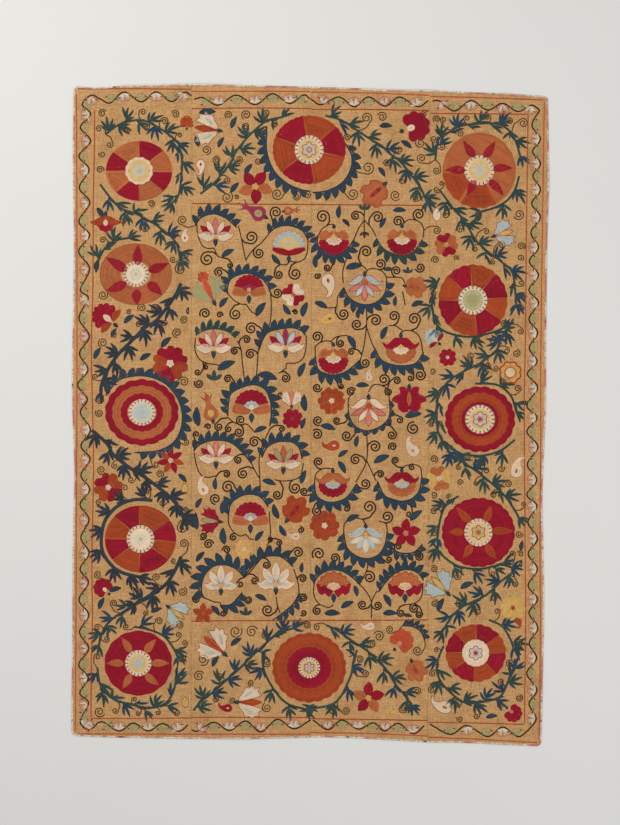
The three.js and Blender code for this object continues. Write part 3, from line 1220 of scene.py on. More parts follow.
@dataclass
class Braid:
    """The narrow braid bound round the rim, in four lengths that meet in the corners.

    Attributes:
        step: Distance between two places along it.
        sides: Sides of its section.
        lengths: The line of each length, by its name.
    """

    step: float = 7.0
    sides: int = 8
    lengths: dict[str, Points] = field(default_factory=dict)

    def plan(self) -> None:
        """Works out the line of each length, anticlockwise, along the braid's middle."""
        reach = CORNER_RADIUS
        corners = []
        for side, end, sx, sy, start in (
            (RIGHT_RIM, BOTTOM_RIM, 1, -1, -90),
            (RIGHT_RIM, TOP_RIM, 1, 1, 0),
            (LEFT_RIM, TOP_RIM, -1, 1, 90),
            (LEFT_RIM, BOTTOM_RIM, -1, -1, 180),
        ):
            x = float(side.at(sy * HALF_LENGTH))
            y = float(end.at(x))
            corners.append((x - sx * reach, y - sy * reach, start))
        names = ("edging_right", "edging_top", "edging_left", "edging_bottom")
        rims = (RIGHT_RIM, TOP_RIM, LEFT_RIM, BOTTOM_RIM)
        for number, (name, rim) in enumerate(zip(names, rims)):
            first, last = corners[number], corners[(number + 1) % 4]
            axis = 1 - number % 2
            step = math.copysign(self.step, last[axis] - first[axis])
            places = np.arange(first[axis], last[axis], step)[1:]
            out = rim.at(places) - (2 - axis - number) * EDGING_WIDTH / 2
            straight = np.column_stack([out, places] if axis else [places, out])
            arcs = [self.arc(first, 46, 90), straight, self.arc(last, 0, 44)]
            self.lengths[name] = np.vstack(arcs)

    def arc(self, corner: tuple[float, float, float], start: float, stop: float) -> Points:
        """Points of a corner's arc along the braid's middle, in degrees from where the corner starts.

        Args:
            corner: The arc's middle and the turn at which it starts.
            start: Degrees to its first point.
            stop: Degrees to its last.

        Returns:
            The points.
        """
        turns = np.radians(corner[2] + np.linspace(start, stop, 6))
        radius = CORNER_RADIUS - EDGING_WIDTH / 2
        return np.column_stack([corner[0] + radius * np.cos(turns), corner[1] + radius * np.sin(turns)])

    def build(self, name: str, tree: bpy.types.NodeTree, finish: BraidFinish) -> bpy.types.Object:
        """Makes one length.

        Args:
            name: Which length.
            tree: The tree that sweeps rows.
            finish: The braid's finish.

        Returns:
            The length of braid.
        """
        path = self.lengths[name]
        half = EDGING_WIDTH / 2 - 0.1
        row = Row(path, False, np.full(len(path), half), 0.0, 0.5)
        source = path_object(name + "_line", [row], EDGING_THICKNESS / 2 - CLOTH_THICKNESS + 0.32)
        values = {"Crown": 0.6, "Sides": self.sides, "Thread": finish.material(name)}
        return baked(name + "_braid", source, tree, values)


def spindle(
    start: Iterable, tip: Iterable, width: float, belly: float = 0.5, bow: float = 0.0, taper: float = 0.8
) -> Points:
    """A pointed petal or leaf.

    Args:
        start: Where it grows from.
        tip: Its far end.
        width: Its greatest width.
        belly: Where it is widest, as a share of its length.
        bow: How far its middle bends to its left, in millimetres.
        taper: How sharply it narrows to its ends.

    Returns:
        Its closed outline, anticlockwise.
    """
    share = np.linspace(0.0, 1.0, 15)
    power = math.log(0.5) / math.log(belly)
    half = width / 2 * np.sin(math.pi * share**power) ** taper
    spine, side = bent_line(start, tip, share, bow)
    return np.vstack([spine - side * half[:, None], (spine + side * half[:, None])[-2:0:-1]])


def ring_of(x: float, y: float, across: float, along: float, lobes: int = 0, depth: float = 0.0) -> Points:
    """A closed oval, scalloped where it has lobes.

    Args:
        x: Its centre's x.
        y: Its centre's y.
        across: Half its width.
        along: Half its height.
        lobes: How many lobes its edge has.
        depth: How deep the cusps between them are.

    Returns:
        Its outline, anticlockwise.
    """
    turn = np.linspace(0, 2 * math.pi, max(24, int(across * 2.2), lobes * 8), endpoint=False)
    drop = depth * (1 - np.abs(np.sin(lobes * turn / 2))) if lobes else 0.0
    return np.column_stack([x + (across - drop) * np.cos(turn), y + (along - drop) * np.sin(turn)])


def along_line(line: np.ndarray, share: np.ndarray, places: Sequence[float]) -> np.ndarray:
    """A line's values at some shares of its length."""
    return np.column_stack([np.interp(places, share, column) for column in line.T])


class Middle(Enum):
    """The kinds of flower worked in the middle of a rosette."""

    SCALLOPED = "scalloped"
    STAR = "star"
    LOBED = "lobed"
    PLAIN = "plain"


@dataclass(frozen=True)
class Rosette:
    """A great round flower: blocks or petals about a ringed middle.

    Attributes:
        x: Its centre's x.
        y: Its centre's y.
        across: Half its width.
        along: Half its height.
        field: The silk of its field.
        blocks: Start and end, in degrees, of each block of the second silk.
        petals: For each petal, the places it starts and ends.
        petal_width: Width of each petal.
        second: The silk of its blocks or petals.
        petal_silk: The silk of its petals where it has blocks too.
        lobes: Lobes of its rim.
        depth: Depth of the cusps between lobes.
        bands: For each band of its field, how far out it reaches, and its silk.
        middle: The kind of flower in its middle.
        eye: Radius of its middle.
        core: Silks of the middle's ring, disc, flower and seed.
        dashed: The silk of the dashes round its middle, or None.
    """

    x: float
    y: float
    across: float
    along: float
    field: Thread = APRICOT
    blocks: tuple[tuple[float, float], ...] = ()
    petals: tuple[tuple[float, float, float, float], ...] = ()
    petal_width: float = 34.0
    second: Thread = CRIMSON
    petal_silk: Thread | None = None
    lobes: int = 0
    depth: float = 0.0
    bands: tuple[tuple[float, Thread], ...] = ()
    middle: Middle = Middle.PLAIN
    eye: float = 48.0
    core: tuple[Thread, Thread, Thread, Thread] = (IVORY, STRAW, SKY, STRAW)
    dashed: Thread | None = None

    def rim(self, degrees: np.ndarray, share: float = 1.0) -> Points:
        """The rim's places at some turns, or places at a share of the way out to it.

        Args:
            degrees: The turns.
            share: The share of the way out.

        Returns:
            The places.
        """
        turn = np.radians(degrees)
        drop = self.depth * (1 - np.abs(np.sin(self.lobes * turn / 2))) if self.lobes else 0.0
        x = self.x + (self.across - drop) * share * np.cos(turn)
        return np.column_stack([x, self.y + (self.along - drop) * share * np.sin(turn)])

    def circle(self, degrees: np.ndarray, radius: float) -> Points:
        """Places at a radius from the centre."""
        turn = np.radians(degrees)
        return np.column_stack([self.x + radius * np.cos(turn), self.y + radius * np.sin(turn)])

    def ring(self, radius: float, lobes: int = 0, depth: float = 0.0) -> Points:
        """A round outline about the centre, scalloped where it has lobes."""
        return ring_of(self.x, self.y, radius, radius, lobes, depth)

    def covers(self, place: Points) -> bool:
        """Whether a place on the cloth is inside the rosette, or close to its rim."""
        x, y = (place - (self.x, self.y)) / (self.across + 4, self.along + 4)
        return bool(x * x + y * y < 1)

    def work(self, hoop: Hoop) -> None:
        """Works the whole rosette.

        Args:
            hoop: The hoop.
        """
        if self.blocks:
            self.work_blocks(hoop)
        else:
            self.work_rings(hoop)
        for number, (x0, y0, x1, y1) in enumerate(self.petals):
            petal = spindle((x0, y0), (x1, y1), self.petal_width, 0.36, 2.0 * (-1) ** number, 1.1)
            hoop.fill(petal, self.petal_silk or self.second, 0.6)
        self.work_middle(hoop)

    def work_blocks(self, hoop: Hoop) -> None:
        """Works the blocks, each with its own rows, with a fine gap between two silks.

        Args:
            hoop: The hoop.
        """
        stops: list[tuple[float, float, Thread]] = []
        for number, (start, stop) in enumerate(self.blocks):
            after = self.blocks[(number + 1) % len(self.blocks)][0]
            after += 360 * math.ceil((stop - after) / 360) if after < stop else 0
            stops += [(start, stop, self.second), (stop, after, self.field)]
        for start, stop, silk in stops:
            inner = self.circle(np.linspace(stop - 1, start + 1, 12), self.eye)
            outer = self.rim(np.linspace(start + 0.1, stop - 0.1, 26))
            hoop.fill(np.vstack([outer, inner]), silk, rounds=4)

    def work_rings(self, hoop: Hoop) -> None:
        """Works rings from the rim inwards, in the field's silk or in the silk of each band.

        Args:
            hoop: The hoop.
        """
        degrees = np.linspace(0, 360, max(90, self.lobes * 8), endpoint=False)
        size = min(self.across, self.along)
        bands = self.bands or ((size, self.field),)
        rows = int((size - self.eye) / ROW_PITCH)
        for number in range(rows):
            share = 1 - (number + 0.5) / rows * (1 - self.eye / size)
            silk = next(silk for reach, silk in bands if share * size <= reach)
            path = eased(self.rim(degrees, share), True)
            shade = float(hoop.dye.uniform(0.2, 0.8))
            half = mitred(path, True, ROW_HALF_WIDTH)
            hoop.rows[silk].append(Row(path, True, half, 0.0, shade))

    def work_middle(self, hoop: Hoop) -> None:
        """Works the middle: an edge, dashes, a disc and the flower on it.

        Args:
            hoop: The hoop.
        """
        edge, disc, flower, seed = self.core
        size = self.eye
        lobes, depth, inner = (12, 5, 0.8) if self.middle is Middle.SCALLOPED else (16, 2, 0.72)
        hoop.fill(self.ring(size + 1, lobes, depth), edge, 0.3)
        hoop.fill(self.ring(size * inner), disc, 0.6)
        if self.dashed:
            for turn in np.radians(np.linspace(0, 360, 20, endpoint=False)):
                dash = (self.x, self.y) + np.outer((0.8, 0.99), size * aim(turn))
                hoop.line(dash, self.dashed, 9.6, lift=0.9)
        if self.middle is Middle.STAR:
            for turn in range(0, 360, 45):
                tip = self.circle(np.array([turn]), size * 0.68)[0]
                hoop.blade((self.x, self.y), tip, size * 0.3, flower)
        elif self.middle is Middle.LOBED:
            hoop.bordered(self.ring(size * 0.52, 6, 8), flower, CRIMSON, 4.4, 0.8)
            hoop.fill(self.ring(size * 0.24, 5, 3), VERMILION, 1.1)
        else:
            hoop.fill(self.ring(size * 0.5, 8, 3), flower, 0.8)
        hoop.fill(self.ring(6), seed, 1.4, 1)


@dataclass(frozen=True)
class LeafCrown:
    """A crescent that cups a flower, with pointed leaves on its outer side.

    Attributes:
        arc: The crescent's inner line.
        leaves: How many leaves stand on it.
        reach: How far a leaf stands off the crescent.
        thick: The crescent's greatest thickness.
        lean: How far each tip leans along the arc.
        silk: The silk that fills it.
        border: The silk of its outline, or None.
        side: 1 where the leaves stand to the arc's left, and -1 to its right.
        inner: Width of the line along its inner side.
    """

    arc: tuple[tuple[float, float], ...]
    leaves: int = 8
    reach: float = 26.0
    thick: float = 11.0
    lean: float = 9.0
    silk: Thread = INDIGO
    border: Thread | None = UMBER
    side: int = 1
    inner: float = 4.0

    def work(self, hoop: Hoop) -> None:
        """Works the crescent, its leaves and their outline.

        Args:
            hoop: The hoop.
        """
        spine = spaced(smooth(self.arc), LINE_STEP)
        along = lengths_along(spine)
        share = along / along[-1]
        left = left_of(np.gradient(spine, axis=0))
        unit = np.column_stack([left[:, 1], -left[:, 0]])
        out = self.side * left
        depth = 1.5 + self.thick * np.sin(math.pi * np.clip(share, 0.02, 0.98)) ** 0.6
        outer = spine + out * depth[:, None]
        edge: list[np.ndarray] = []
        starts = np.linspace(0.03, 0.97, self.leaves + 1)
        for number in range(self.leaves):
            low, high = starts[number], starts[number + 1]
            middle = 0.5 * (low + high)
            size = self.reach * (0.8 + 0.2 * math.sin(math.pi * middle))
            size *= 1 + 0.12 * math.sin(7.3 * number + low)
            root_a, middle_root, root_b = along_line(outer, share, (low, middle, high - 0.1 * (high - low)))
            away, ahead = along_line(np.column_stack([out, unit]), share, (middle,))[0].reshape(2, 2)
            tip = middle_root + away * size + ahead * self.lean
            rise = 0.5 * (root_a + tip) + (0.14 * size) * away - (0.35 * self.lean) * ahead
            fall = 0.5 * (root_b + tip) - (0.04 * size) * away + (0.21 * self.lean) * ahead
            edge += [smooth([root_a, rise, tip], parts=5), smooth([tip, fall, root_b], parts=5)[1:]]
        zigzag = np.vstack([spine[:1], *edge, spine[-1:]])
        hoop.fill(np.vstack([spine, zigzag[::-1]]), self.silk, 0.1)
        if self.border:
            hoop.line(spaced(zigzag, LINE_STEP), self.border, OUTLINE_WIDTH, lift=0.35)
            hoop.line(spine, self.border, self.inner, lift=0.35)


@dataclass(frozen=True)
class Leaf:
    """A single pointed leaf.

    Attributes:
        x: Its middle's x.
        y: Its middle's y.
        length: Its length.
        turn: The way it points, in degrees.
        silk: The silk that fills it.
        border: The silk of its outline, or None.
        slim: Its width as a share of its length.
    """

    x: float
    y: float
    length: float
    turn: float
    silk: Thread = INDIGO
    border: Thread | None = UMBER
    slim: float = 0.38

    def work(self, hoop: Hoop) -> None:
        """Works the leaf.

        Args:
            hoop: The hoop.
        """
        reach = 0.5 * self.length * aim(math.radians(self.turn))
        middle = np.array([self.x, self.y])
        shape = spindle(middle - reach, middle + reach, self.length * self.slim, 0.45, self.length * 0.06)
        hoop.fill(shape, self.silk, 0.1)
        if self.border:
            hoop.line(spaced(shape, EDGE_STEP, True), self.border, OUTLINE_WIDTH, True, 0.35)


@dataclass(frozen=True)
class Curl:
    """A spiral tendril whose tail runs to a stem.

    Attributes:
        x: Its centre's x.
        y: Its centre's y.
        radius: Its radius.
        silk: The silk.
        width: The line's width.
        heart: The radius that it winds in to, as a share of its own.
        tail: How far past the tendril's own edge a stem may be for the tail to reach it.
    """

    x: float
    y: float
    radius: float
    silk: Thread
    width: float = 3.0
    heart: float = 0.16
    tail: float = 36.0

    def work(self, hoop: Hoop, stems: Points) -> None:
        """Works the spiral and its tail to the nearest stem.

        Args:
            hoop: The hoop.
            stems: Places on the stems.
        """
        centre = np.array([self.x, self.y])
        gaps = np.hypot(*(stems - centre).T)
        outside = np.flatnonzero(gaps > self.radius * 1.02)
        root = stems[outside[np.argmin(gaps[outside])]]
        away = root - centre
        distance = float(np.hypot(*away))
        hand = 1.0 if math.sin(self.x * 0.37 + self.y * 0.73) > 0 else -1.0
        start = math.atan2(away[1], away[0]) - hand * math.acos(min(self.radius / distance, 1.0))
        turns = 1.75 if self.radius > 13 else 1.45
        t = np.linspace(0.0, 1.0, int(12 + self.radius * turns))
        radius = self.radius * (1 - t * (1 - self.heart))
        angle = start - hand * 2 * math.pi * turns * t
        spiral = centre + np.column_stack([radius * np.cos(angle), radius * np.sin(angle)])
        path = spiral
        if distance < self.radius * 1.1 + self.tail:
            side = np.array([away[1], -away[0]]) * (0.16 * hand)
            bend = 0.5 * (root + spiral[0]) + side
            path = np.vstack([smooth((root, bend, spiral[0]), parts=6)[:-1], spiral])
        hoop.line(path, self.silk, self.width, lift=0.1)


@dataclass(frozen=True)
class Vine:
    """A stem with sprays of blades on both sides.

    Attributes:
        path: Places that the stem passes through.
        silk: The silk.
        border: The silk of its outline, or None.
        thick: The stem's width.
        spacing: Distance between two sprays.
        blade: Length of a blade.
        seed: Sets the blades' unevenness.
    """

    path: tuple[tuple[float, float], ...]
    silk: Thread = TEAL
    border: Thread | None = None
    thick: float = 7.0
    spacing: float = 45.0
    blade: float = 49.0
    seed: int = 1

    def stem(self) -> Points:
        """The stem's line."""
        return spaced(smooth(self.path), STEM_STEP)

    def work(self, hoop: Hoop, rosettes: Sequence[Rosette]) -> None:
        """Works the stem and its sprays, with none of them over a rosette.

        Args:
            hoop: The hoop.
            rosettes: The rosettes that the vine runs round.
        """
        line = self.stem()
        if self.border:
            hoop.line(line, self.border, self.thick + 3.6)
        hoop.line(line, self.silk, self.thick, lift=0.7)
        along = lengths_along(line)
        chance = np.random.default_rng(self.seed)
        unit = np.gradient(line, axis=0)
        headings = np.degrees(np.arctan2(unit[:, 1], unit[:, 0]))
        side = 1 if self.seed % 2 else -1
        place = self.spacing * 0.3
        while place < along[-1] - 0.45 * self.spacing:
            number = int(np.searchsorted(along, place))
            self.spray(hoop, rosettes, line[number], float(headings[number]), side, chance)
            side = -side
            place += self.spacing * float(chance.uniform(0.7, 1.0))
        self.spray(hoop, rosettes, line[-1], float(headings[-1]), 0, chance)

    def spray(
        self,
        hoop: Hoop,
        rosettes: Sequence[Rosette],
        root: Points,
        heading: float,
        side: int,
        chance: np.random.Generator,
    ) -> None:
        """Works one spray of blades.

        Args:
            hoop: The hoop.
            rosettes: What the blades keep clear of.
            root: Where it leaves the stem.
            heading: The stem's heading there, in degrees.
            side: 1 for the left side, -1 for the right, and 0 for the stem's end.
            chance: The source of unevenness.
        """
        silk = INDIGO if self.border or chance.random() < 0.3 else self.silk
        lean = heading + side * float(chance.uniform(40, 58))
        away = aim(math.radians(lean))
        neck = self.blade * float(chance.uniform(0.22, 0.42)) if side else 0.0
        knee = root + neck * away
        if any(rosette.covers(knee + 0.3 * self.blade * away) for rosette in rosettes):
            return
        if neck:
            hoop.line(np.vstack([root, knee + 14 * away]), silk, 6.4, lift=0.2)
        fans = [(-28.0, 0.0), (3.0, 0.0), (33.0, 0.0), (-56.0, 0.4), (58.0, 0.55)]
        if chance.random() < 0.35:
            fans.pop(3 + (side > 0))
        for fan, back in fans:
            turn = math.radians(lean + fan + float(chance.uniform(-7, 7)))
            length = self.blade * float(chance.uniform(0.8, 1.08)) * (1 - 0.0038 * abs(fan))
            way = aim(turn)
            start = knee - away * (back * neck) - 2.0 * way
            tip = start + (length + 2) * way
            bow = float(chance.uniform(1.0, 3.5)) * math.copysign(1, fan)
            if not any(rosette.covers(tip) for rosette in rosettes):
                hoop.blade(start, tip, 11.5 if self.border else 10.2, silk, bow, self.border)


@dataclass(frozen=True)
class Place:
    """Where a flower is set: its own places are in millimetres, growing upwards from its root.

    Attributes:
        x: The root's x on the cloth.
        y: The root's y.
        turn: Degrees anticlockwise from upright.
        size: How much larger than its usual size.
        flip: -1 where it is mirrored.
    """

    x: float
    y: float
    turn: float = 0.0
    size: float = 1.0
    flip: int = 1

    def set(self, points: Iterable) -> Points:
        """Puts a flower's own places on the cloth."""
        own = as_points(points) * np.array([self.flip * self.size, self.size])
        return turned(own, self.turn) + np.array([self.x, self.y])


class Flower:
    """A flower that is set at a place, with its silks."""

    def __init__(self, place: Place, *silks: Thread) -> None:
        """Takes where it is set and the silks it is worked in."""
        self.place = place
        self.silks = silks

    def petal(
        self, hoop: Hoop, root: Iterable, tip: Iterable, width: float, silk: Thread, **more: object
    ) -> None:
        """Works one pointed petal.

        Args:
            hoop: The hoop.
            root: Where it grows from, in the flower's own places.
            tip: Its far end.
            width: Its width.
            silk: Its silk.
            more: belly and bow of its shape, border for an outline, and lift.
        """
        shape = spindle(root, tip, width, more.get("belly", 0.55), more.get("bow", 0.0))
        self.patch(hoop, shape, silk, more.get("border"), more.get("lift", 0.0))

    def patch(
        self, hoop: Hoop, shape: Iterable, silk: Thread, border: Thread | None = None, lift: float = 0.0
    ) -> None:
        """Fills a shape given in the flower's own places, with a border where one is named.

        Args:
            hoop: The hoop.
            shape: The outline.
            silk: Its silk.
            border: The border's silk, or None.
            lift: How far it lies over the ground motifs.
        """
        outline = self.place.set(shape)
        if border:
            hoop.bordered(outline, silk, border, PETAL_OUTLINE_WIDTH, lift)
        else:
            hoop.fill(outline, silk, lift)

    def cup(self, hoop: Hoop, silk: Thread = INDIGO, low: float = -26.0, width: float = 15.0) -> None:
        """Works the small calyx at the root."""
        self.petal(hoop, (0, low), (0, 4), width, silk, belly=0.6, border=UMBER, lift=0.5)


def both(points: Iterable) -> Points:
    """A shape closed by its own mirror image across the flower's middle, from its right half."""
    half = as_points(points)
    return np.vstack([half, (half * np.array([-1, 1]))[::-1]])


def dome(half_width: float, height: float, low: float, lobes: int, depth: float) -> Points:
    """The scalloped top edge of a flower, from right to left.

    Args:
        half_width: Half its width.
        height: Its height in the middle.
        low: Its height at the ends.
        lobes: How many scallops it has.
        depth: How deep they are.

    Returns:
        The edge's points.
    """
    turn = np.linspace(0.0, math.pi, lobes * 7 + 1)
    drop = depth * (1 - np.abs(np.sin(lobes * turn)) ** 0.7)
    return np.column_stack([(half_width - drop) * np.cos(turn), low + (height - low - drop) * np.sin(turn)])


class Lily(Flower):
    """An open lily: two spreading lower petals and five upright ones. Silks: lower, outer, inner, crest."""

    def work(self, hoop: Hoop) -> None:
        """Works the lily.

        Args:
            hoop: The hoop.
        """
        lower, outer, inner, crest = self.silks
        wing = ((0, 16), (16, 24), (38, 28), (54, 20), (66, 22), (58, 6), (42, -3), (28, -8), (10, 0))
        for side in (-1, 1):
            low = as_points(wing) * (side, 1)
            self.patch(hoop, smooth(low, True, 4), lower, PLUM)
            self.petal(hoop, (5 * side, 14), (56 * side, 50), 24, outer, bow=-3 * side)
            self.petal(
                hoop, (4 * side, 18), (31 * side, 68), 20, inner, border=PLUM, bow=-2 * side, lift=0.2
            )
        self.petal(hoop, (0, 18), (0, 78), 19, crest, border=PLUM, lift=0.4)
        self.patch(hoop, ring_of(0, 8, 9, 9), STRAW, None, 0.5)
        self.cup(hoop)


class StarLily(Flower):
    """A lily of three broad upright petals over two that curl. Silks: petals, their hearts."""

    def work(self, hoop: Hoop) -> None:
        """Works the lily.

        Args:
            hoop: The hoop.
        """
        petals, hearts = self.silks
        curl = ((0, 8), (16, 22), (36, 28), (52, 18), (68, 20), (56, 4), (38, -6), (20, -2), (4, -6))
        for side in (-1, 1):
            self.patch(hoop, smooth(as_points(curl) * (side, 1), True, 4), petals, ROSE)
            self.petal(
                hoop, (6 * side, 14), (44 * side, 68), 29, petals, border=ROSE, bow=-3 * side, lift=0.2
            )
            self.petal(hoop, (5 * side, 12), (40 * side, 14), 9, hearts, lift=0.8)
            self.petal(hoop, (5 * side, 16), (26 * side, 44), 9, hearts, lift=0.8)
        self.petal(hoop, (0, 16), (0, 90), 29, petals, border=ROSE, lift=0.4)
        self.petal(hoop, (0, 18), (0, 58), 9, hearts, lift=0.9)
        self.patch(hoop, ring_of(0, 10, 9, 9), STRAW, None, 1.0)
        self.cup(hoop)


class Palmette(Flower):
    """A scalloped dome over a two-lobed skirt. Silks: dome, heart, skirt, seed."""

    lobes = 9
    depth = 4.0
    edge: Thread | None = None
    fold = ((2, 16), (26, 29), (54, 32), (60, 8), (34, 2), (14, 1))

    def work(self, hoop: Hoop) -> None:
        """Works the palmette.

        Args:
            hoop: The hoop.
        """
        top, heart, skirt, seed = self.silks
        crest = dome(54, 80, 32, self.lobes, self.depth)
        rim = np.vstack([crest, [(-50, 36), (-26, 31), (0, 18), (26, 31), (50, 36)]])
        self.patch(hoop, rim, top, self.edge)
        self.patch(
            hoop, np.vstack([dome(24, 44, 24, 5, 3), [(-20, 24), (0, 14), (20, 24)]]), heart, None, 0.3
        )
        for side in (-1, 1):
            lobe = as_points(self.fold) * (side, 1)
            self.patch(hoop, smooth(lobe, True, 4), skirt, None, 0.1)
        self.patch(hoop, ring_of(0, 24, 8, 8), seed, None, 0.6)
        self.cup(hoop)


class CrestedPalmette(Palmette):
    """A palmette with an edged, deep-lobed dome and a skirt that ends in points."""

    lobes = 7
    depth = 10.0
    edge = CRIMSON
    fold = ((1, 20), (24, 34), (44, 30), (58, 40), (52, 10), (38, 0), (30, 6), (14, -6))


class Shell(Flower):
    """A pale scalloped shell over two spreading lobes. Silks: rim, heart, lobes, edge."""

    def work(self, hoop: Hoop) -> None:
        """Works the shell.

        Args:
            hoop: The hoop.
        """
        rim, heart, lobes, edge = self.silks
        crest = dome(60, 96, 38, 9, 7)
        self.patch(hoop, np.vstack([crest, [(-50, 36), (-14, 34), (0, 26), (14, 34), (50, 36)]]), rim, edge)
        self.patch(
            hoop, np.vstack([dome(40, 76, 36, 7, 3), [(-34, 36), (0, 22), (34, 36)]]), heart, None, 0.3
        )
        wing = ((0, 24), (20, 30), (58, 34), (60, 24), (40, 12), (18, 6), (0, 4))
        self.patch(hoop, both(wing), lobes, None, 0.2)
        self.cup(hoop, low=-22, width=13)


class Bonnet(Flower):
    """A hanging flower: a lobed hood, a pale frill and a broad lower cup.

    Silks: hood, frill, bowl, seed.
    """

    def work(self, hoop: Hoop) -> None:
        """Works the bonnet.

        Args:
            hoop: The hoop.
        """
        hood, frill, bowl, seed = self.silks
        crest = dome(56, 104, 50, 11, 3.5)
        self.patch(hoop, np.vstack([crest, [(-54, 46), (-28, 42), (0, 36), (28, 42), (54, 46)]]), bowl)
        for side in (-1, 1):
            wave = (
                (2 * side, 10), (16 * side, 18), (30 * side, 10), (46 * side, 18), (54 * side, 34),
                (48 * side, 46),
            )
            back = ((26 * side, 44), (2 * side, 38))
            self.patch(hoop, np.vstack([smooth(wave, parts=5), back]), hood, None, 0.15)
        self.patch(
            hoop, np.vstack([dome(30, 66, 44, 5, 4), [(-28, 42), (0, 34), (28, 42)]]), frill, None, 0.45
        )
        self.patch(hoop, ((-12, 34), (0, 22), (12, 34), (8, 44), (-8, 44)), seed, None, 0.7)
        self.cup(hoop, low=-12, width=12)


class Hood(Flower):
    """A hanging flower whose hood curls out at both ends like a moustache.

    Silks: hood, frill, bowl, seed.
    """

    def work(self, hoop: Hoop) -> None:
        """Works the flower.

        Args:
            hoop: The hoop.
        """
        hood, frill, bowl, seed = self.silks
        crest = dome(56, 98, 50, 9, 4)
        self.patch(hoop, np.vstack([crest, [(-56, 42), (0, 34), (56, 42)]]), bowl)
        wing = ((0, 4), (22, 4), (38, 18), (50, 28), (66, 20), (60, 36), (38, 46), (0, 34))
        self.patch(hoop, both(smooth(wing, parts=5)), hood, None, 0.3)
        self.patch(
            hoop, np.vstack([dome(30, 66, 44, 5, 4), [(-28, 42), (0, 34), (28, 42)]]), frill, None, 0.5
        )
        self.patch(hoop, ((-12, 36), (0, 26), (12, 36), (8, 44), (-8, 44)), seed, None, 0.8)
        self.cup(hoop, low=-16, width=12)


class Drooper(Flower):
    """A hanging lily: two wings and five fanned petals with a diamond between.

    Silks: wings, fan, border, heart.
    """

    def work(self, hoop: Hoop) -> None:
        """Works the flower.

        Args:
            hoop: The hoop.
        """
        wings, fan, border, heart = self.silks
        for side in (-1, 1):
            wing = (
                (2 * side, 6), (20 * side, 2), (38 * side, 14), (52 * side, 26), (66 * side, 22),
                (56 * side, 36),
            )
            back = ((34 * side, 36), (14 * side, 24))
            self.patch(hoop, np.vstack([smooth(wing, parts=5), back]), wings, border, 0.2)
        for tip, width, silk in (((-58, 58), 18, fan), ((58, 58), 18, fan), ((0, 96), 22, fan)):
            self.petal(hoop, (0, 34), tip, width, silk, border=border)
        for tip in ((-34, 80), (34, 80)):
            self.petal(hoop, (0, 34), tip, 18, wings, border=border, lift=0.2)
        self.patch(hoop, ((-12, 28), (0, 14), (12, 28), (0, 42)), heart, VERMILION, 0.6)
        self.cup(hoop, low=-14, width=12)


class Tulip(Flower):
    """A tulip: two ragged outer petals and a slim heart. Silks: petals, heart, border."""

    def work(self, hoop: Hoop) -> None:
        """Works the tulip.

        Args:
            hoop: The hoop.
        """
        petals, heart, border = self.silks
        ragged = (
            (2, 0), (16, 4), (30, 16), (48, 22), (44, 34), (54, 46), (43, 52), (46, 68), (32, 62),
            (22, 76), (14, 52), (7, 26),
        )
        for side in (-1, 1):
            near = smooth(as_points(ragged[:3]) * (side, 1), parts=4)
            shape = np.vstack([near, as_points(ragged[3:]) * (side, 1)])
            self.patch(hoop, shape, petals, border)
            if petals is IVORY:
                self.petal(hoop, (14 * side, 14), (36 * side, 46), 8, SKY, lift=0.7)
        self.petal(hoop, (0, 2), (0, 74), 19, heart, border=border, lift=0.3)
        self.cup(hoop, TEAL, -16, 11)


class Fan(Flower):
    """A carnation: a scalloped fan over a pale heart and two lobes. Silks: fan, lobes, heart."""

    def work(self, hoop: Hoop) -> None:
        """Works the carnation.

        Args:
            hoop: The hoop.
        """
        fan, lobes, heart = self.silks
        self.patch(hoop, np.vstack([dome(40, 74, 26, 7, 6), [(-26, 22), (0, 12), (26, 22)]]), fan)
        for side in (-1, 1):
            self.petal(hoop, (2 * side, 8), (42 * side, 14), 20, lobes, bow=4 * side, lift=0.2)
        self.petal(hoop, (0, 10), (0, 42), 17, heart, lift=0.4)
        self.cup(hoop, TEAL, -12, 10)


class Boteh(Flower):
    """A bent drop with an eye. Silks: body, border, eye."""

    def work(self, hoop: Hoop) -> None:
        """Works the drop.

        Args:
            hoop: The hoop.
        """
        body, border, eye = self.silks
        drop = (
            (0, 0), (17, 8), (20, 26), (10, 42), (8, 56), (20, 68), (2, 66), (-10, 50), (-17, 30),
            (-14, 8),
        )
        self.patch(hoop, smooth(drop, True, 5), body, border)
        self.petal(hoop, (1, 12), (1, 28), 9, eye, lift=0.4)


class Star(Flower):
    """A flower of pointed petals about an eye. Silks: first petals, second petals, eye, border or none."""

    petals = 5
    reach = 50.0

    def shape(self) -> Points:
        """One petal, growing upwards from the eye."""
        return spindle((0, 3), (3, self.reach), 150 / self.petals, 0.5, 2, 0.9)

    def work(self, hoop: Hoop) -> None:
        """Works the flower round its root.

        Args:
            hoop: The hoop.
        """
        first, second, eye, *border = self.silks
        for number in range(self.petals):
            petal = turned(self.shape(), 360 / self.petals * number)
            silk = second if number % 2 else first
            self.patch(hoop, petal, silk, border[0] if border else None, 0.08 * number)
        self.patch(hoop, ring_of(0, 0, 10, 10, 5, 3), eye, None, 0.8)


class Burst(Star):
    """The same flower with seven slimmer petals."""

    petals = 7


class Cross(Star):
    """A flower of four broad notched petals."""

    petals = 4
    edge = ((0, 3), (20, 16), (28, 34), (15, 43), (3, 37), (-11, 45), (-27, 36), (-20, 15))

    def shape(self) -> Points:
        """One petal, notched at its tip."""
        narrow = (4 / self.petals) ** 0.8
        return smooth(as_points(self.edge) * (narrow, 1), True, 4)


class Pansy(Cross):
    """The same flower with five petals."""

    petals = 5


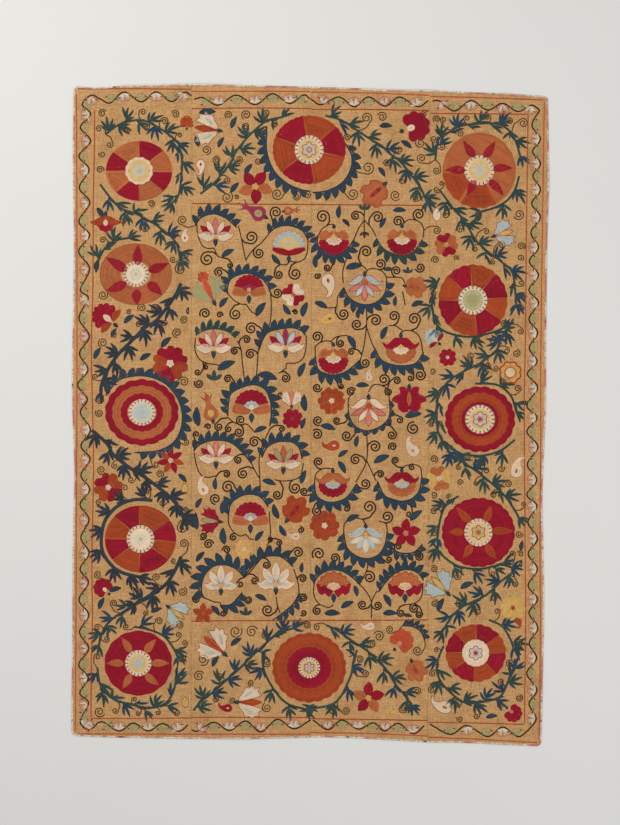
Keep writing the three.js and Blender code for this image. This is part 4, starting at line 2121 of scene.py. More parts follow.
class Rosa(Flower):
    """A broad scalloped flower, seen from the side of its stalk. Silks: face, border, eye."""

    def work(self, hoop: Hoop) -> None:
        """Works the flower.

        Args:
            hoop: The hoop.
        """
        face, border, eye = self.silks
        turn = np.radians(np.linspace(-48, 228, 70))
        reach = 44 - 6 * (1 - np.abs(np.sin(4.6 * (turn + 0.84))))
        rim = np.column_stack([reach * np.cos(turn), 38 + reach * np.sin(turn)])
        self.patch(hoop, np.vstack([rim, [(-12, 14), (0, 24), (12, 14)]]), face, border)
        self.patch(hoop, ring_of(0, 26, 9, 11), eye, None, 0.6)
        self.cup(hoop, TEAL, -8, 12)


class Medal(Flower):
    """A round flower in wavy rings. Silks: border, ring, eye."""

    def work(self, hoop: Hoop) -> None:
        """Works the rings from the rim inwards.

        Args:
            hoop: The hoop.
        """
        border, ring, eye = self.silks
        self.patch(hoop, ring_of(0, 0, 43, 43, 8, 6), border)
        self.patch(hoop, ring_of(0, 0, 37, 37, 8, 6), ring, None, 0.3)
        self.patch(hoop, ring_of(0, 0, 25, 25, 8, 3), border, None, 0.4)
        self.patch(hoop, ring_of(0, 0, 18, 18), eye, UMBER, 0.7)


class Bell(Flower):
    """A lobed bell with a long heart. Silks: body, border, heart."""

    outline = ((6, 0), (24, 6), (38, 22), (32, 36), (42, 52), (34, 70), (20, 66), (11, 82), (0, 86))

    def work(self, hoop: Hoop) -> None:
        """Works the bell.

        Args:
            hoop: The hoop.
        """
        body, border, heart = self.silks
        self.patch(hoop, smooth(both(self.outline), True, 4), body, border)
        self.petal(hoop, (0, 8), (0, 60), 15, heart, lift=0.5)
        self.cup(hoop, TEAL, -14, 12)


class Vase(Bell):
    """The same flower with ears at its root and a flared lip."""

    outline = (
        (5, 4), (16, -4), (32, -2), (30, 18), (50, 28), (56, 42), (38, 50), (36, 66), (20, 80), (0, 76)
    )


class Winged(Flower):
    """Two spreading wings over a half-round bowl. Silks: wings, bowl, heart."""

    def work(self, hoop: Hoop) -> None:
        """Works the flower.

        Args:
            hoop: The hoop.
        """
        wings, bowl, heart = self.silks
        rim = [(-30, 30), (30, 30)]
        self.patch(hoop, np.vstack([dome(32, 62, 28, 5, 3), rim]), bowl)
        wing = ((0, 2), (18, 6), (36, 16), (56, 26), (38, 36), (20, 38), (0, 30))
        self.patch(hoop, smooth(both(wing), True, 4), wings, None, 0.3)
        self.petal(hoop, (0, 14), (0, 40), 17, heart, border=ROSE, lift=0.6)
        self.cup(hoop, TEAL, -14, 11)


class Fig(Flower):
    """A round fruit with an eye and a forked tip. Silks: body, border, eye."""

    def work(self, hoop: Hoop) -> None:
        """Works the fruit.

        Args:
            hoop: The hoop.
        """
        body, border, eye = self.silks
        half = ((6, 0), (19, 8), (22, 24), (12, 42), (6, 60), (18, 80), (6, 70), (0, 88))
        self.patch(hoop, smooth(both(half), True, 4), body, border)
        self.patch(hoop, ring_of(0, 22, 11, 12), eye, None, 0.4)
        self.cup(hoop, TEAL, -12, 10)


class Bud(Flower):
    """A single drop-shaped bud. Silks: body, border."""

    def work(self, hoop: Hoop) -> None:
        """Works the bud."""
        body, border = self.silks
        self.petal(hoop, (0, 0), (0, 46), 26, body, border=border, belly=0.45)


class Trefoil(Flower):
    """Three short leaves from one root. Silks: leaves."""

    def work(self, hoop: Hoop) -> None:
        """Works the three leaves."""
        for tip in ((-24, 20), (0, 34), (24, 20)):
            self.petal(hoop, (0, 0), tip, 13, self.silks[0])


ROSETTES = (
    Rosette(
        -623, 889, 121, 109, blocks=((43, 90), (141, 180), (226, 270), (318, 357)),
        middle=Middle.SCALLOPED, eye=50,
    ),
    Rosette(
        -635, 513, 132, 112,
        petals=(
            (-628, 545, -626, 624), (-590, 525, -513, 554), (-592, 482, -538, 436),
            (-630, 458, -631, 399), (-668, 482, -746, 451), (-666, 523, -746, 575),
        ),
        petal_width=36, eye=46, core=(IVORY, IVORY, SKY, STRAW), dashed=UMBER,
    ),
    Rosette(
        -613, 10, 135, 122, lobes=18, depth=5, bands=((72, CRIMSON), (100, APRICOT), (200, CRIMSON)),
        eye=48, core=(IVORY, SKY, SKY, SKY), dashed=CRIMSON,
    ),
    Rosette(
        -618, -451, 130, 122, field=RUST, blocks=((93, 137), (180, 218), (268, 322), (356, 393)),
        middle=Middle.STAR, eye=50, core=(IVORY, IVORY, SKY, STRAW), dashed=PLUM,
    ),
    Rosette(
        -626, -903, 124, 119, field=CRIMSON, second=APRICOT, lobes=14, depth=3,
        petals=(
            (-580, -904, -510, -904), (-678, -904, -744, -904), (-602, -866, -560, -814),
            (-652, -864, -690, -806), (-652, -942, -686, -998), (-602, -942, -548, -984),
        ),
        petal_width=28, eye=47, core=(IVORY, STRAW, SKY, SKY), dashed=PLUM,
    ),
    Rosette(
        -4, 966, 134, 126, field=RUST, lobes=34, depth=3, blocks=((100, 158), (220, 278), (348, 402)),
        middle=Middle.LOBED, eye=52, core=(IVORY, STRAW, SKY, STRAW), dashed=UMBER,
    ),
    Rosette(
        -4, -919, 136, 128, lobes=22, depth=5, bands=((78, CRIMSON), (200, RUST)), middle=Middle.LOBED,
        eye=38, core=(IVORY, STRAW, SKY, SKY), dashed=UMBER,
    ),
    Rosette(
        615, 891, 135, 139, lobes=20, depth=4, blocks=((184, 236), (240, 298)), second=RUST,
        petal_silk=CRIMSON,
        petals=(
            (663, 897, 741, 899), (567, 891, 488, 892), (600, 936, 556, 1003), (632, 936, 674, 999),
            (650, 857, 705, 797), (603, 855, 570, 797),
        ),
        petal_width=30, middle=Middle.STAR, eye=54, core=(IVORY, STRAW, SKY, SKY), dashed=PLUM,
    ),
    Rosette(
        592, 418, 127, 131, field=RUST, lobes=22, depth=4,
        blocks=((5, 48), (94, 135), (180, 225), (278, 325)), eye=52, core=(IVORY, SAGE, SAGE, SAGE),
        dashed=UMBER,
    ),
    Rosette(
        618, -15, 129, 121, lobes=20, depth=5, bands=((66, CRIMSON), (97, RUST), (200, CRIMSON)),
        middle=Middle.LOBED, eye=52, core=(IVORY, STRAW, SKY, CRIMSON), dashed=UMBER,
    ),
    Rosette(
        612, -427, 134, 127, field=CRIMSON, second=RUST, lobes=24, depth=4,
        petals=(
            (658, -423, 743, -423), (562, -427, 498, -427), (586, -392, 531, -333),
            (636, -390, 658, -326), (588, -470, 555, -522), (640, -470, 680, -527),
        ),
        petal_width=30, middle=Middle.LOBED, eye=50, core=(IVORY, STRAW, SAGE, VERMILION), dashed=ROSE,
    ),
    Rosette(
        602, -866, 111, 106, field=RUST, lobes=20, depth=4,
        blocks=((39, 88), (136, 178), (218, 266), (314, 360)), middle=Middle.LOBED, eye=49,
        core=(IVORY, IVORY, SKY, CRIMSON),
    ),
)


# Straight border lines and their silk: each is worked through these places
BORDER_LINES = (
    (VERMILION, ((-851, 1170), (-849, 300), (-852, -500), (-855, -1150))),
    (VERMILION, ((852, 1140), (845, 690), (839, 200), (839, -50), (836, -500), (838, -750), (833, -1185))),
    (VERMILION, ((-845, 1187), (-640, 1188), (-433, 1186))),
    (VERMILION, ((-430, 1178), (-200, 1179), (0, 1177))),
    (VERMILION, ((4, 1176), (220, 1172), (432, 1164))),
    (VERMILION, ((438, 1160), (640, 1155), (848, 1147))),
    (VERMILION, ((-845, -1160), (-434, -1161), (0, -1161))),
    (VERMILION, ((0, -1155), (220, -1159), (427, -1168))),
    (VERMILION, ((430, -1172), (640, -1181), (828, -1192))),
    (RUST, ((-785, 1110), (-785, 1000), (-790, 780), (-790, 650), (-792, 420), (-797, 240), (-791, -40))),
    (RUST, ((-791, -40), (-789, -220), (-795, -520), (-793, -730), (-797, -910), (-798, -1100))),
    (RUST, ((793, 1093), (787, 700), (783, 300), (779, 0), (782, -500), (784, -750), (779, -1120))),
    (RUST, ((-430, 1116), (-220, 1118), (2, 1116))),
    (RUST, ((4, 1113), (220, 1112), (432, 1109))),
    (RUST, ((437, 1098), (620, 1097), (790, 1095))),
    (RUST, ((-798, -1104), (-600, -1104), (-434, -1102))),
    (RUST, ((-434, -1100), (-220, -1100), (0, -1101))),
    (RUST, ((0, -1105), (220, -1108), (427, -1112))),
    (RUST, ((428, -1118), (620, -1121), (779, -1125))),
    (RUST, ((-430, 770), (-200, 768), (200, 765), (430, 763))),
    (RUST, ((-432, -750), (-200, -748), (200, -747), (427, -745))),
)

# The wavy border, as its turning places, and 1 where its first turning place has a flower beside it
WAVES = (
    (0, (
        (-765, 1151), (-728, 1136), (-678, 1176), (-615, 1140), (-561, 1177), (-505, 1141), (-458, 1175),
        (-433, 1162),
    )),
    (0, (
        (-422, 1150), (-390, 1155), (-335, 1128), (-270, 1165), (-200, 1130), (-138, 1170), (-75, 1134),
        (-25, 1165), (0, 1150),
    )),
    (1, (
        (3, 1150), (40, 1130), (105, 1158), (160, 1122), (212, 1158), (272, 1124), (325, 1158), (390, 1123),
        (430, 1145),
    )),
    (1, (
        (445, 1143), (470, 1143), (525, 1107), (585, 1145), (645, 1110), (700, 1135), (755, 1105),
        (805, 1128), (835, 1110),
    )),
    (1, (
        (-765, 1151), (-798, 1164), (-830, 1130), (-799, 1095), (-837, 1047), (-799, 998), (-842, 943),
        (-805, 894), (-841, 828), (-802, 774), (-842, 705), (-803, 655), (-843, 596), (-803, 533),
        (-837, 457), (-808, 426), (-842, 353), (-804, 287), (-840, 225), (-809, 165), (-847, 110),
        (-811, 58), (-837, 9), (-800, -54), (-835, -112), (-801, -160), (-835, -219), (-802, -271),
        (-838, -325), (-805, -380), (-835, -446), (-805, -502), (-838, -561), (-807, -609), (-842, -672),
        (-806, -727), (-840, -790), (-806, -849), (-843, -908), (-808, -956), (-839, -1012), (-807, -1047),
        (-836, -1108), (-828, -1134), (-807, -1144), (-786, -1134), (-775, -1121),
    )),
    (0, (
        (-775, -1120), (-751, -1118), (-696, -1150), (-644, -1121), (-589, -1150), (-538, -1123),
        (-479, -1151), (-445, -1127),
    )),
    (1, (
        (-432, -1145), (-410, -1150), (-350, -1118), (-295, -1148), (-235, -1113), (-180, -1153),
        (-120, -1107), (-60, -1142), (0, -1110),
    )),
    (1, (
        (10, -1110), (65, -1145), (115, -1110), (175, -1143), (230, -1120), (270, -1150), (320, -1122),
        (375, -1160), (415, -1130),
    )),
    (0, ((435, -1125), (510, -1162), (570, -1130), (645, -1170), (700, -1135), (755, -1170), (790, -1150))),
    (0, (
        (835, 1110), (807, 1055), (838, 1005), (809, 960), (838, 915), (810, 870), (838, 820), (806, 770),
        (838, 720), (803, 665), (831, 610), (797, 560), (831, 510), (796, 455), (831, 410), (796, 350),
        (828, 300), (797, 245), (826, 195), (790, 150), (828, 100), (788, 35), (826, -10), (788, -60),
        (829, -115), (790, -180), (825, -235), (788, -290), (825, -330), (792, -390), (827, -450),
        (793, -505), (827, -560), (793, -620), (827, -670), (796, -720), (829, -775), (797, -830),
        (824, -885), (788, -940), (825, -1000), (796, -1050), (822, -1105), (790, -1150),
    )),
)

# Crowns of leaves round the field's flowers, and round some rosettes
CROWNS = (
    LeafCrown(((-418, 690), (-395, 720), (-350, 732), (-305, 715), (-268, 682)), 7),
    LeafCrown(((-152, 660), (-125, 682), (-80, 690), (-30, 672), (-8, 636)), 8),
    LeafCrown((
        (-300, 440), (-300, 470), (-283, 500), (-230, 516), (-182, 500), (-157, 474), (-147, 448),
    ), 9),
    LeafCrown((
        (-418, 286), (-395, 302), (-355, 312), (-305, 304), (-270, 276),
    ), 7, border=None, silk=TEAL, inner=3),
    LeafCrown(((-185, 240), (-170, 280), (-145, 305), (-75, 318), (-35, 308), (-18, 290)), 8),
    LeafCrown((
        (-300, -5), (-297, 45), (-282, 84), (-215, 110), (-170, 98), (-148, 60), (-142, 10), (-148, -40),
    ), 13),
    LeafCrown(((-425, -132), (-400, -107), (-350, -92), (-290, -100), (-248, -135), (-212, -180)), 10),
    LeafCrown(((-176, -155), (-157, -118), (-120, -98), (-70, -98), (-42, -118), (-30, -160)), 8),
    LeafCrown(((-298, -365), (-290, -325), (-262, -300), (-225, -288), (-182, -298), (-153, -335)), 8),
    LeafCrown((
        (-240, -592), (-268, -562), (-310, -545), (-355, -552), (-388, -590), (-396, -640), (-384, -668),
    ), 9, 34, side=-1, lean=12),
    LeafCrown(((-325, -692), (-288, -688), (-248, -646)), 4, side=-1),
    LeafCrown(((-242, -592), (-215, -556), (-170, -518), (-110, -515), (-62, -552)), 8, 30),
    LeafCrown(((28, 655), (28, 620), (55, 594), (92, 582), (130, 600), (160, 642)), 9, side=-1),
    LeafCrown((
        (240, 650), (265, 610), (300, 590), (338, 582), (375, 597), (410, 645),
    ), 8, 28, border=None, silk=TEAL, side=-1, inner=3),
    LeafCrown((
        (122, 465), (138, 432), (168, 410), (205, 402), (245, 414), (272, 446), (278, 490),
    ), 9, side=-1),
    LeafCrown(((18, 215), (28, 168), (60, 150), (95, 147), (135, 162), (180, 200)), 8, side=-1),
    LeafCrown(((235, 245), (255, 205), (290, 186), (338, 180), (385, 190), (412, 230)), 8, side=-1),
    LeafCrown((
        (287, 60), (290, 10), (278, -22), (245, -46), (205, -57), (165, -42), (144, -10), (138, 20),
    ), 9, 14, 5, 5),
    LeafCrown(((16, -245), (22, -290), (52, -313), (92, -316), (135, -297), (168, -250)), 8, side=-1),
    LeafCrown((
        (245, -240), (268, -290), (300, -306), (338, -313), (375, -300), (398, -270), (406, -220),
    ), 9, side=-1),
    LeafCrown((
        (122, -425), (133, -480), (165, -511), (207, -522), (248, -508), (272, -470), (280, -420),
    ), 10, side=-1),
    LeafCrown(((12, -615), (30, -585), (68, -565), (112, -567), (152, -590), (180, -618)), 8),
    LeafCrown(((252, -642), (275, -608), (310, -575), (350, -562), (390, -574), (412, -602)), 9),
    LeafCrown(((290, -475), (318, -498), (350, -503), (380, -497), (408, -470)), 6, 22, 7, side=-1),
    LeafCrown((
        (-745, 70), (-700, 125), (-640, 142), (-580, 138), (-520, 108), (-478, 50), (-466, -20),
        (-490, -90), (-550, -128), (-640, -136),
    ), 20, 24),
    LeafCrown(((-158, 1050), (-158, 960), (-132, 890), (-86, 845), (-35, 822), (0, 815)), 10, 24, side=-1),
    LeafCrown(((130, 985), (150, 945), (148, 900), (120, 850), (65, 818), (8, 810)), 9, 24, side=1),
    LeafCrown(((-40, -648), (-62, -686), (-98, -718), (-128, -740)), 5, 24, 4),
    LeafCrown(((335, -766), (372, -770), (402, -788), (416, -818)), 6, 22, 4),
)

# Flowers of the field, each set inside its crown
FIELD_FLOWERS = (
    Lily(Place(-345, 640), IVORY, CRIMSON, IVORY, ROSE),
    Shell(Place(-78, 576), SKY, STRAW, CRIMSON, ROSE),
    Palmette(Place(-223, 432), CRIMSON, PLUM, APRICOT, STRAW),
    Lily(Place(-352, 232), IVORY, CRIMSON, IVORY, ROSE),
    Lily(Place(-90, 235, size=1.05), IVORY, CRIMSON, SKY, PLUM),
    Palmette(Place(-214, 2, size=1.14), CRIMSON, SKY, APRICOT, IVORY),
    Lily(Place(-343, -170), IVORY, CRIMSON, IVORY, ROSE),
    Lily(Place(-98, -190), IVORY, CRIMSON, SAGE, APRICOT),
    Palmette(Place(-218, -402, size=1.08), CRIMSON, SKY, APRICOT, IVORY),
    StarLily(Place(-325, -632, size=0.95), IVORY, SKY),
    StarLily(Place(-125, -628, size=1.05), IVORY, SKY),
    Bonnet(Place(86, 683, 180), APRICOT, IVORY, CRIMSON, STRAW),
    Bonnet(Place(334, 685, 180), APRICOT, IVORY, CRIMSON, STRAW),
    Drooper(Place(198, 510, 180), SKY, ROSE, CRIMSON, APRICOT),
    Bonnet(Place(84, 253, 180), APRICOT, IVORY, CRIMSON, STRAW),
    Hood(Place(330, 285, 180), CRIMSON, IVORY, APRICOT, STRAW),
    Drooper(Place(212, 62, 180, 1.08), IVORY, ROSE, CRIMSON, VERMILION),
    Hood(Place(82, -207, 180, 0.95), APRICOT, SKY, CRIMSON, STRAW),
    Hood(Place(333, -205, 180, 0.95), CRIMSON, SKY, APRICOT, STRAW),
    Drooper(Place(202, -408, 180), SKY, IVORY, SKY, STRAW),
    CrestedPalmette(Place(85, -655, size=1.08), APRICOT, IVORY, CRIMSON, STRAW),
    CrestedPalmette(Place(345, -655, size=1.08), APRICOT, IVORY, CRIMSON, STRAW),
)

# Dark stems of the field
FIELD_STEMS = (
    ((-413, 700), (-410, 660), (-395, 620), (-375, 607), (-350, 608)),
    ((-350, 608), (-343, 590), (-335, 577), (-320, 573)),
    ((-262, 690), (-250, 640), (-243, 600), (-234, 563)),
    ((-8, 640), (-10, 600), (-20, 570), (-45, 557), (-75, 560), (-87, 547), (-115, 550)),
    ((-150, 660), (-180, 625), (-205, 605), (-225, 580), (-234, 563)),
    ((-298, 440), (-280, 420), (-255, 405), (-233, 403)),
    ((-145, 450), (-142, 400), (-148, 330), (-180, 270), (-190, 225), (-195, 150), (-200, 128)),
    ((-233, 403), (-215, 378), (-197, 367)),
    ((-418, 280), (-420, 240), (-405, 205), (-375, 188), (-357, 186), (-335, 182), (-325, 178)),
    ((-265, 270), (-252, 240), (-248, 200), (-240, 130)),
    ((-15, 290), (-15, 250), (-25, 210), (-50, 190), (-85, 188), (-90, 170), (-115, 152)),
    ((-298, -10), (-280, -25), (-255, -35), (-235, -32), (-222, -40), (-205, -60), (-195, -62)),
    ((-147, -50), (-170, -100), (-186, -155), (-184, -220), (-182, -280)),
    ((-423, -135), (-415, -180), (-400, -215), (-375, -227), (-345, -222), (-345, -235)),
    ((-25, -175), (-35, -220), (-60, -235), (-100, -240), (-130, -235)),
    ((-212, -180), (-200, -205), (-186, -228)),
    ((-298, -360), (-297, -395), (-280, -425), (-255, -440), (-235, -435), (-220, -450), (-205, -452)),
    ((-150, -350), (-145, -420), (-147, -440), (-165, -500), (-210, -560), (-240, -592)),
    ((-385, -665), (-350, -680), (-330, -682), (-325, -700)),
    ((-60, -560), (-45, -610), (-42, -650), (-60, -685), (-105, -725), (-140, -748)),
    ((-125, -660), (-120, -690), (-110, -720)),
    ((30, 655), (45, 680), (75, 695), (90, 690)),
    ((410, 645), (412, 680), (395, 705), (360, 712), (335, 695)),
    ((240, 650), (222, 682), (198, 708)),
    ((160, 642), (176, 680), (196, 708)),
    ((197, 745), (196, 705), (197, 660)),
    ((120, 480), (118, 520), (125, 550), (135, 575)),
    ((278, 490), (276, 505), (260, 525), (235, 533), (210, 530), (200, 510)),
    ((122, 465), (100, 430), (95, 395), (65, 390)),
    ((205, 530), (190, 543), (170, 545)),
    ((276, 502), (330, 500), (345, 480)),
    ((205, 390), (205, 330), (195, 250), (182, 200)),
    ((205, 320), (225, 260), (237, 240)),
    ((18, 210), (20, 250), (45, 268), (75, 268), (84, 250)),
    ((75, 268), (95, 285), (135, 290)),
    ((410, 225), (400, 280), (375, 305), (345, 308), (328, 300)),
    ((335, 308), (310, 325), (285, 325)),
    ((345, 400), (340, 430), (335, 450)),
    ((287, 60), (285, 90), (260, 108), (230, 110), (212, 85)),
    ((138, 20), (140, 60), (165, 95)),
    ((205, -57), (205, -165), (165, -245)),
    ((205, -165), (240, -240)),
    ((16, -245), (20, -215), (45, -195), (75, -195), (82, -205)),
    ((406, -220), (400, -190), (375, -180), (345, -185), (333, -200)),
    ((122, -425), (125, -395), (150, -375), (190, -380), (202, -405)),
    ((280, -420), (275, -395), (250, -385)),
    ((207, -522), (207, -560), (180, -615)),
    ((15, -610), (12, -650), (30, -685), (65, -700), (85, -690)),
    ((410, -610), (405, -660), (380, -685), (345, -690)),
    ((222, -740), (222, -680), (205, -645), (180, -615)),
    ((222, -680), (240, -645), (252, -640)),
)

# Leafy vines: path, whether it is outlined in umber, and the seed of its sprays
VINES = (
    ((
        (-745, 1022), (-700, 1055), (-640, 1073), (-600, 1070), (-550, 1045), (-500, 1010), (-478, 985),
    ), False, 1),
    (((-478, 985), (-467, 930), (-470, 860), (-480, 800), (-505, 770)), False, 2),
    ((
        (-765, 840), (-735, 800), (-710, 770), (-680, 748), (-640, 735), (-600, 715), (-545, 680),
        (-490, 630), (-472, 560),
    ), False, 3),
    (((-780, 520), (-768, 570), (-745, 610), (-710, 635), (-660, 645)), False, 4),
    ((
        (-470, 480), (-495, 430), (-560, 345), (-600, 320), (-650, 270), (-700, 220), (-740, 160),
        (-760, 110), (-762, 80),
    ), True, 5),
    (((-795, -55), (-765, -80), (-735, -110), (-720, -140), (-680, -175), (-645, -200)), True, 6),
    (((-645, -200), (-590, -235), (-520, -290), (-475, -340), (-460, -380)), True, 7),
    ((
        (-575, -310), (-640, -308), (-700, -330), (-745, -380), (-760, -440), (-755, -500), (-720, -550),
        (-680, -575), (-620, -590),
    ), True, 8),
    (((-470, -515), (-495, -570), (-530, -620), (-590, -660), (-640, -690)), True, 9),
    (((-640, -690), (-680, -715), (-735, -755), (-760, -800), (-770, -840)), False, 10),
    (((-640, -770), (-590, -780), (-540, -800), (-510, -830), (-480, -880)), False, 11),
    ((
        (-775, -920), (-765, -980), (-740, -1015), (-700, -1040), (-590, -1065), (-530, -1050),
        (-500, -1010), (-485, -950),
    ), False, 12),
    ((
        (-400, 805), (-345, 850), (-290, 920), (-270, 960), (-220, 1020), (-160, 1070), (-100, 1085),
    ), False, 13),
    ((
        (-425, -1075), (-400, -1045), (-350, -1005), (-300, -960), (-255, -920), (-205, -870), (-150, -820),
        (-120, -795), (-60, -775),
    ), False, 14),
    (((-175, -860), (-168, -930), (-128, -1005), (-80, -1052), (-10, -1072)), False, 33),
    (((170, -855), (156, -900), (147, -950), (108, -1028), (70, -1056), (8, -1068)), False, 30),
    ((
        (55, 1090), (110, 1075), (150, 1050), (210, 1010), (260, 980), (285, 955), (330, 920), (370, 870),
        (400, 830), (425, 775),
    ), False, 15),
    ((
        (60, -765), (100, -785), (150, -820), (210, -860), (245, -895), (280, -930), (310, -980),
        (340, -1015), (370, -1060),
    ), False, 16),
    ((
        (455, 930), (465, 1000), (490, 1020), (540, 1050), (600, 1060), (680, 1060), (730, 1030),
        (750, 990), (765, 940),
    ), False, 17),
    (((760, 870), (745, 820), (715, 780), (670, 755), (620, 740)), False, 18),
    ((
        (470, 820), (500, 780), (530, 740), (560, 710), (600, 640), (640, 600), (700, 555), (735, 520),
        (745, 460), (750, 400),
    ), False, 19),
    ((
        (740, 350), (700, 290), (680, 240), (620, 190), (560, 160), (500, 120), (465, 60), (460, 0),
        (465, -60), (480, -95),
    ), False, 20),
    (((480, -95), (510, -140), (560, -175), (620, -215), (700, -285), (740, -340), (760, -375)), False, 21),
    ((
        (470, 500), (445, 440), (445, 380), (460, 330), (500, 300), (580, 285), (660, 300), (710, 320),
    ), False, 22),
    (((600, 115), (680, 110), (730, 70), (750, 10)), False, 23),
    (((745, -90), (690, -130), (620, -148), (540, -140)), False, 24),
    (((540, -295), (500, -320), (475, -370), (462, -450)), False, 25),
    (((450, -470), (480, -510), (540, -550), (620, -560), (690, -545), (735, -555)), False, 26),
    ((
        (740, -570), (700, -600), (640, -655), (590, -680), (550, -700), (510, -740), (480, -790),
    ), False, 27),
    (((650, -745), (700, -770), (730, -820), (740, -850)), False, 28),
    ((
        (485, -840), (462, -900), (465, -950), (500, -1000), (560, -1045), (620, -1045), (690, -1025),
        (720, -970), (745, -920),
    ), False, 29),
)


# Tendrils, each by its centre and radius
CURLS_OUTER_LEFT = (
    (-757, 1098, 15), (-610, 1103, 13), (-490, 1095, 15), (-530, 1070, 15), (-768, 1042, 13),
    (-662, 1038, 10), (-597, 1045, 10), (-475, 1018, 10), (-730, 985, 13), (-758, 950, 13),
    (-765, 893, 14), (-577, 768, 14), (-682, 708, 12), (-465, 710, 18), (-755, 637, 12), (-600, 680, 15),
    (-490, 660, 10), (-500, 567, 12), (-455, 580, 12), (-473, 532, 20), (-755, 437, 18), (-613, 390, 16),
    (-565, 392, 14), (-660, 375, 10), (-625, 330, 12), (-530, 337, 12), (-460, 345, 15), (-485, 300, 18),
    (-755, 263, 18), (-712, 290, 10), (-685, 155, 13), (-783, 140, 12), (-740, 90, 12), (-767, 55, 15),
    (-768, 8, 15), (-623, 163, 10), (-460, 122, 18), (-452, -98, 12), (-688, -125, 13), (-760, -200, 17),
    (-712, -185, 12), (-563, -180, 13), (-548, -215, 15), (-652, -235, 13), (-675, -265, 13),
    (-590, -280, 10), (-770, -318, 12), (-538, -320, 12), (-452, -345, 10), (-465, -410, 20),
    (-460, -468, 17), (-497, -530, 10), (-773, -580, 15), (-560, -590, 15), (-633, -640, 13),
    (-715, -685, 14), (-465, -642, 17), (-600, -720, 10), (-550, -750, 14), (-475, -765, 15),
    (-670, -770, 12), (-775, -772, 12), (-480, -800, 12), (-458, -830, 12), (-742, -815, 13),
    (-775, -880, 13), (-640, -1035, 10), (-767, -1080, 20), (-710, -1075, 12), (-627, -1085, 10),
    (-555, -1083, 10), (-485, -1083, 12), (-465, -885, 15),
)
CURLS_INNER_LEFT = (
    (-297, 1093, 15), (-233, 1093, 18), (-158, 1100, 12), (-235, 1050, 14), (-378, 965, 18),
    (-340, 930, 15), (-258, 930, 15), (-190, 925, 12), (-132, 1058, 12), (-305, 853, 14),
    (-303, 793, 22), (-268, 793, 9), (-120, 805, 22), (-50, 795, 14), (-10, 800, 12), (-125, 738, 22),
    (-375, 568, 27), (-215, 648, 25), (-187, 590, 20), (-293, 545, 11), (-333, 520, 18), (-115, 512, 17),
    (-55, 515, 24), (-120, 445, 18), (-383, 370, 20), (-330, 365, 12), (-272, 368, 22), (-215, 315, 22),
    (-232, 275, 15), (-275, 233, 14), (-218, 222, 18), (-55, 375, 10), (-410, 157, 12), (-380, 175, 10),
    (-405, 115, 17), (-300, 132, 15), (-372, -42, 12), (-333, -42, 16), (-297, -50, 13),
    (-260, -62, 18), (-253, -18, 18), (-90, 135, 17), (-110, 72, 12), (-105, -50, 12),
    (-203, -98, 20), (-262, -163, 15), (-245, -213, 20), (-305, -215, 14), (-415, -70, 12),
    (-300, -262, 24), (-345, -305, 20), (-55, -265, 22), (-22, -278, 15), (-120, -290, 18),
    (-390, -440, 14), (-370, -470, 18), (-280, -445, 13), (-305, -490, 15), (-147, -452, 10),
    (-35, -418, 12), (-115, -465, 12), (-45, -500, 20), (-160, -545, 15), (-203, -602, 15),
    (-255, -615, 13), (-28, -595, 15), (-225, -672, 14), (-415, -670, 15), (-318, -722, 12),
    (-155, -710, 22), (-25, -665, 14), (-25, -720, 12), (-272, -788, 24), (-213, -788, 22),
    (-163, -800, 14), (-390, -890, 22), (-405, -950, 20), (-335, -950, 12), (-215, -975, 13),
    (-345, -1035, 12), (-285, -1038, 12), (-158, -1065, 18), (-218, -865, 10), (-155, -905, 12),
    (-12, -765, 14), (-5, -1070, 14),
)
CURLS_INNER_RIGHT = (
    (205, 1082, 20), (262, 1085, 18), (415, 1097, 13), (135, 1010, 14), (400, 990, 20), (325, 965, 12),
    (405, 935, 18), (278, 920, 14), (210, 900, 24), (335, 852, 12), (155, 805, 22), (310, 800, 20),
    (385, 790, 13), (45, 722, 25), (165, 725, 17), (245, 720, 22), (395, 730, 22), (320, 705, 20),
    (203, 595, 23), (62, 537, 14), (255, 550, 20), (25, 507, 12), (313, 525, 18), (400, 537, 18),
    (120, 368, 22), (170, 330, 20), (237, 345, 22), (305, 360, 20), (378, 350, 24),
    (25, 285, 20), (110, 262, 15), (150, 230, 13), (200, 190, 18), (25, 100, 17), (113, 105, 10),
    (148, 85, 16), (268, 130, 22), (315, 125, 15), (365, 135, 12), (400, 145, 20), (285, 85, 14),
    (28, -20, 18), (97, -20, 14), (25, -70, 20), (133, -75, 20), (297, -72, 18), (325, -18, 13),
    (375, -48, 24), (235, -115, 22), (165, -162, 20), (300, -115, 16), (310, -165, 14), (30, -170, 17),
    (255, -215, 14), (200, -250, 20), (370, -190, 12), (25, -350, 18), (133, -340, 12), (215, -335, 25),
    (280, -370, 22), (360, -360, 13), (30, -505, 24), (90, -520, 17), (320, -478, 14), (395, -515, 16),
    (285, -525, 13), (215, -590, 22), (190, -690, 17), (245, -693, 16), (25, -712, 16), (330, -720, 15),
    (378, -703, 17), (395, -725, 14), (25, -772, 13), (250, -805, 20), (225, -835, 14), (290, -780, 15),
    (390, -857, 18), (180, -890, 14), (275, -885, 12), (200, -940, 14),
    (390, -1005, 15), (335, -1070, 15), (80, -1078, 13), (130, -1075, 15),
)
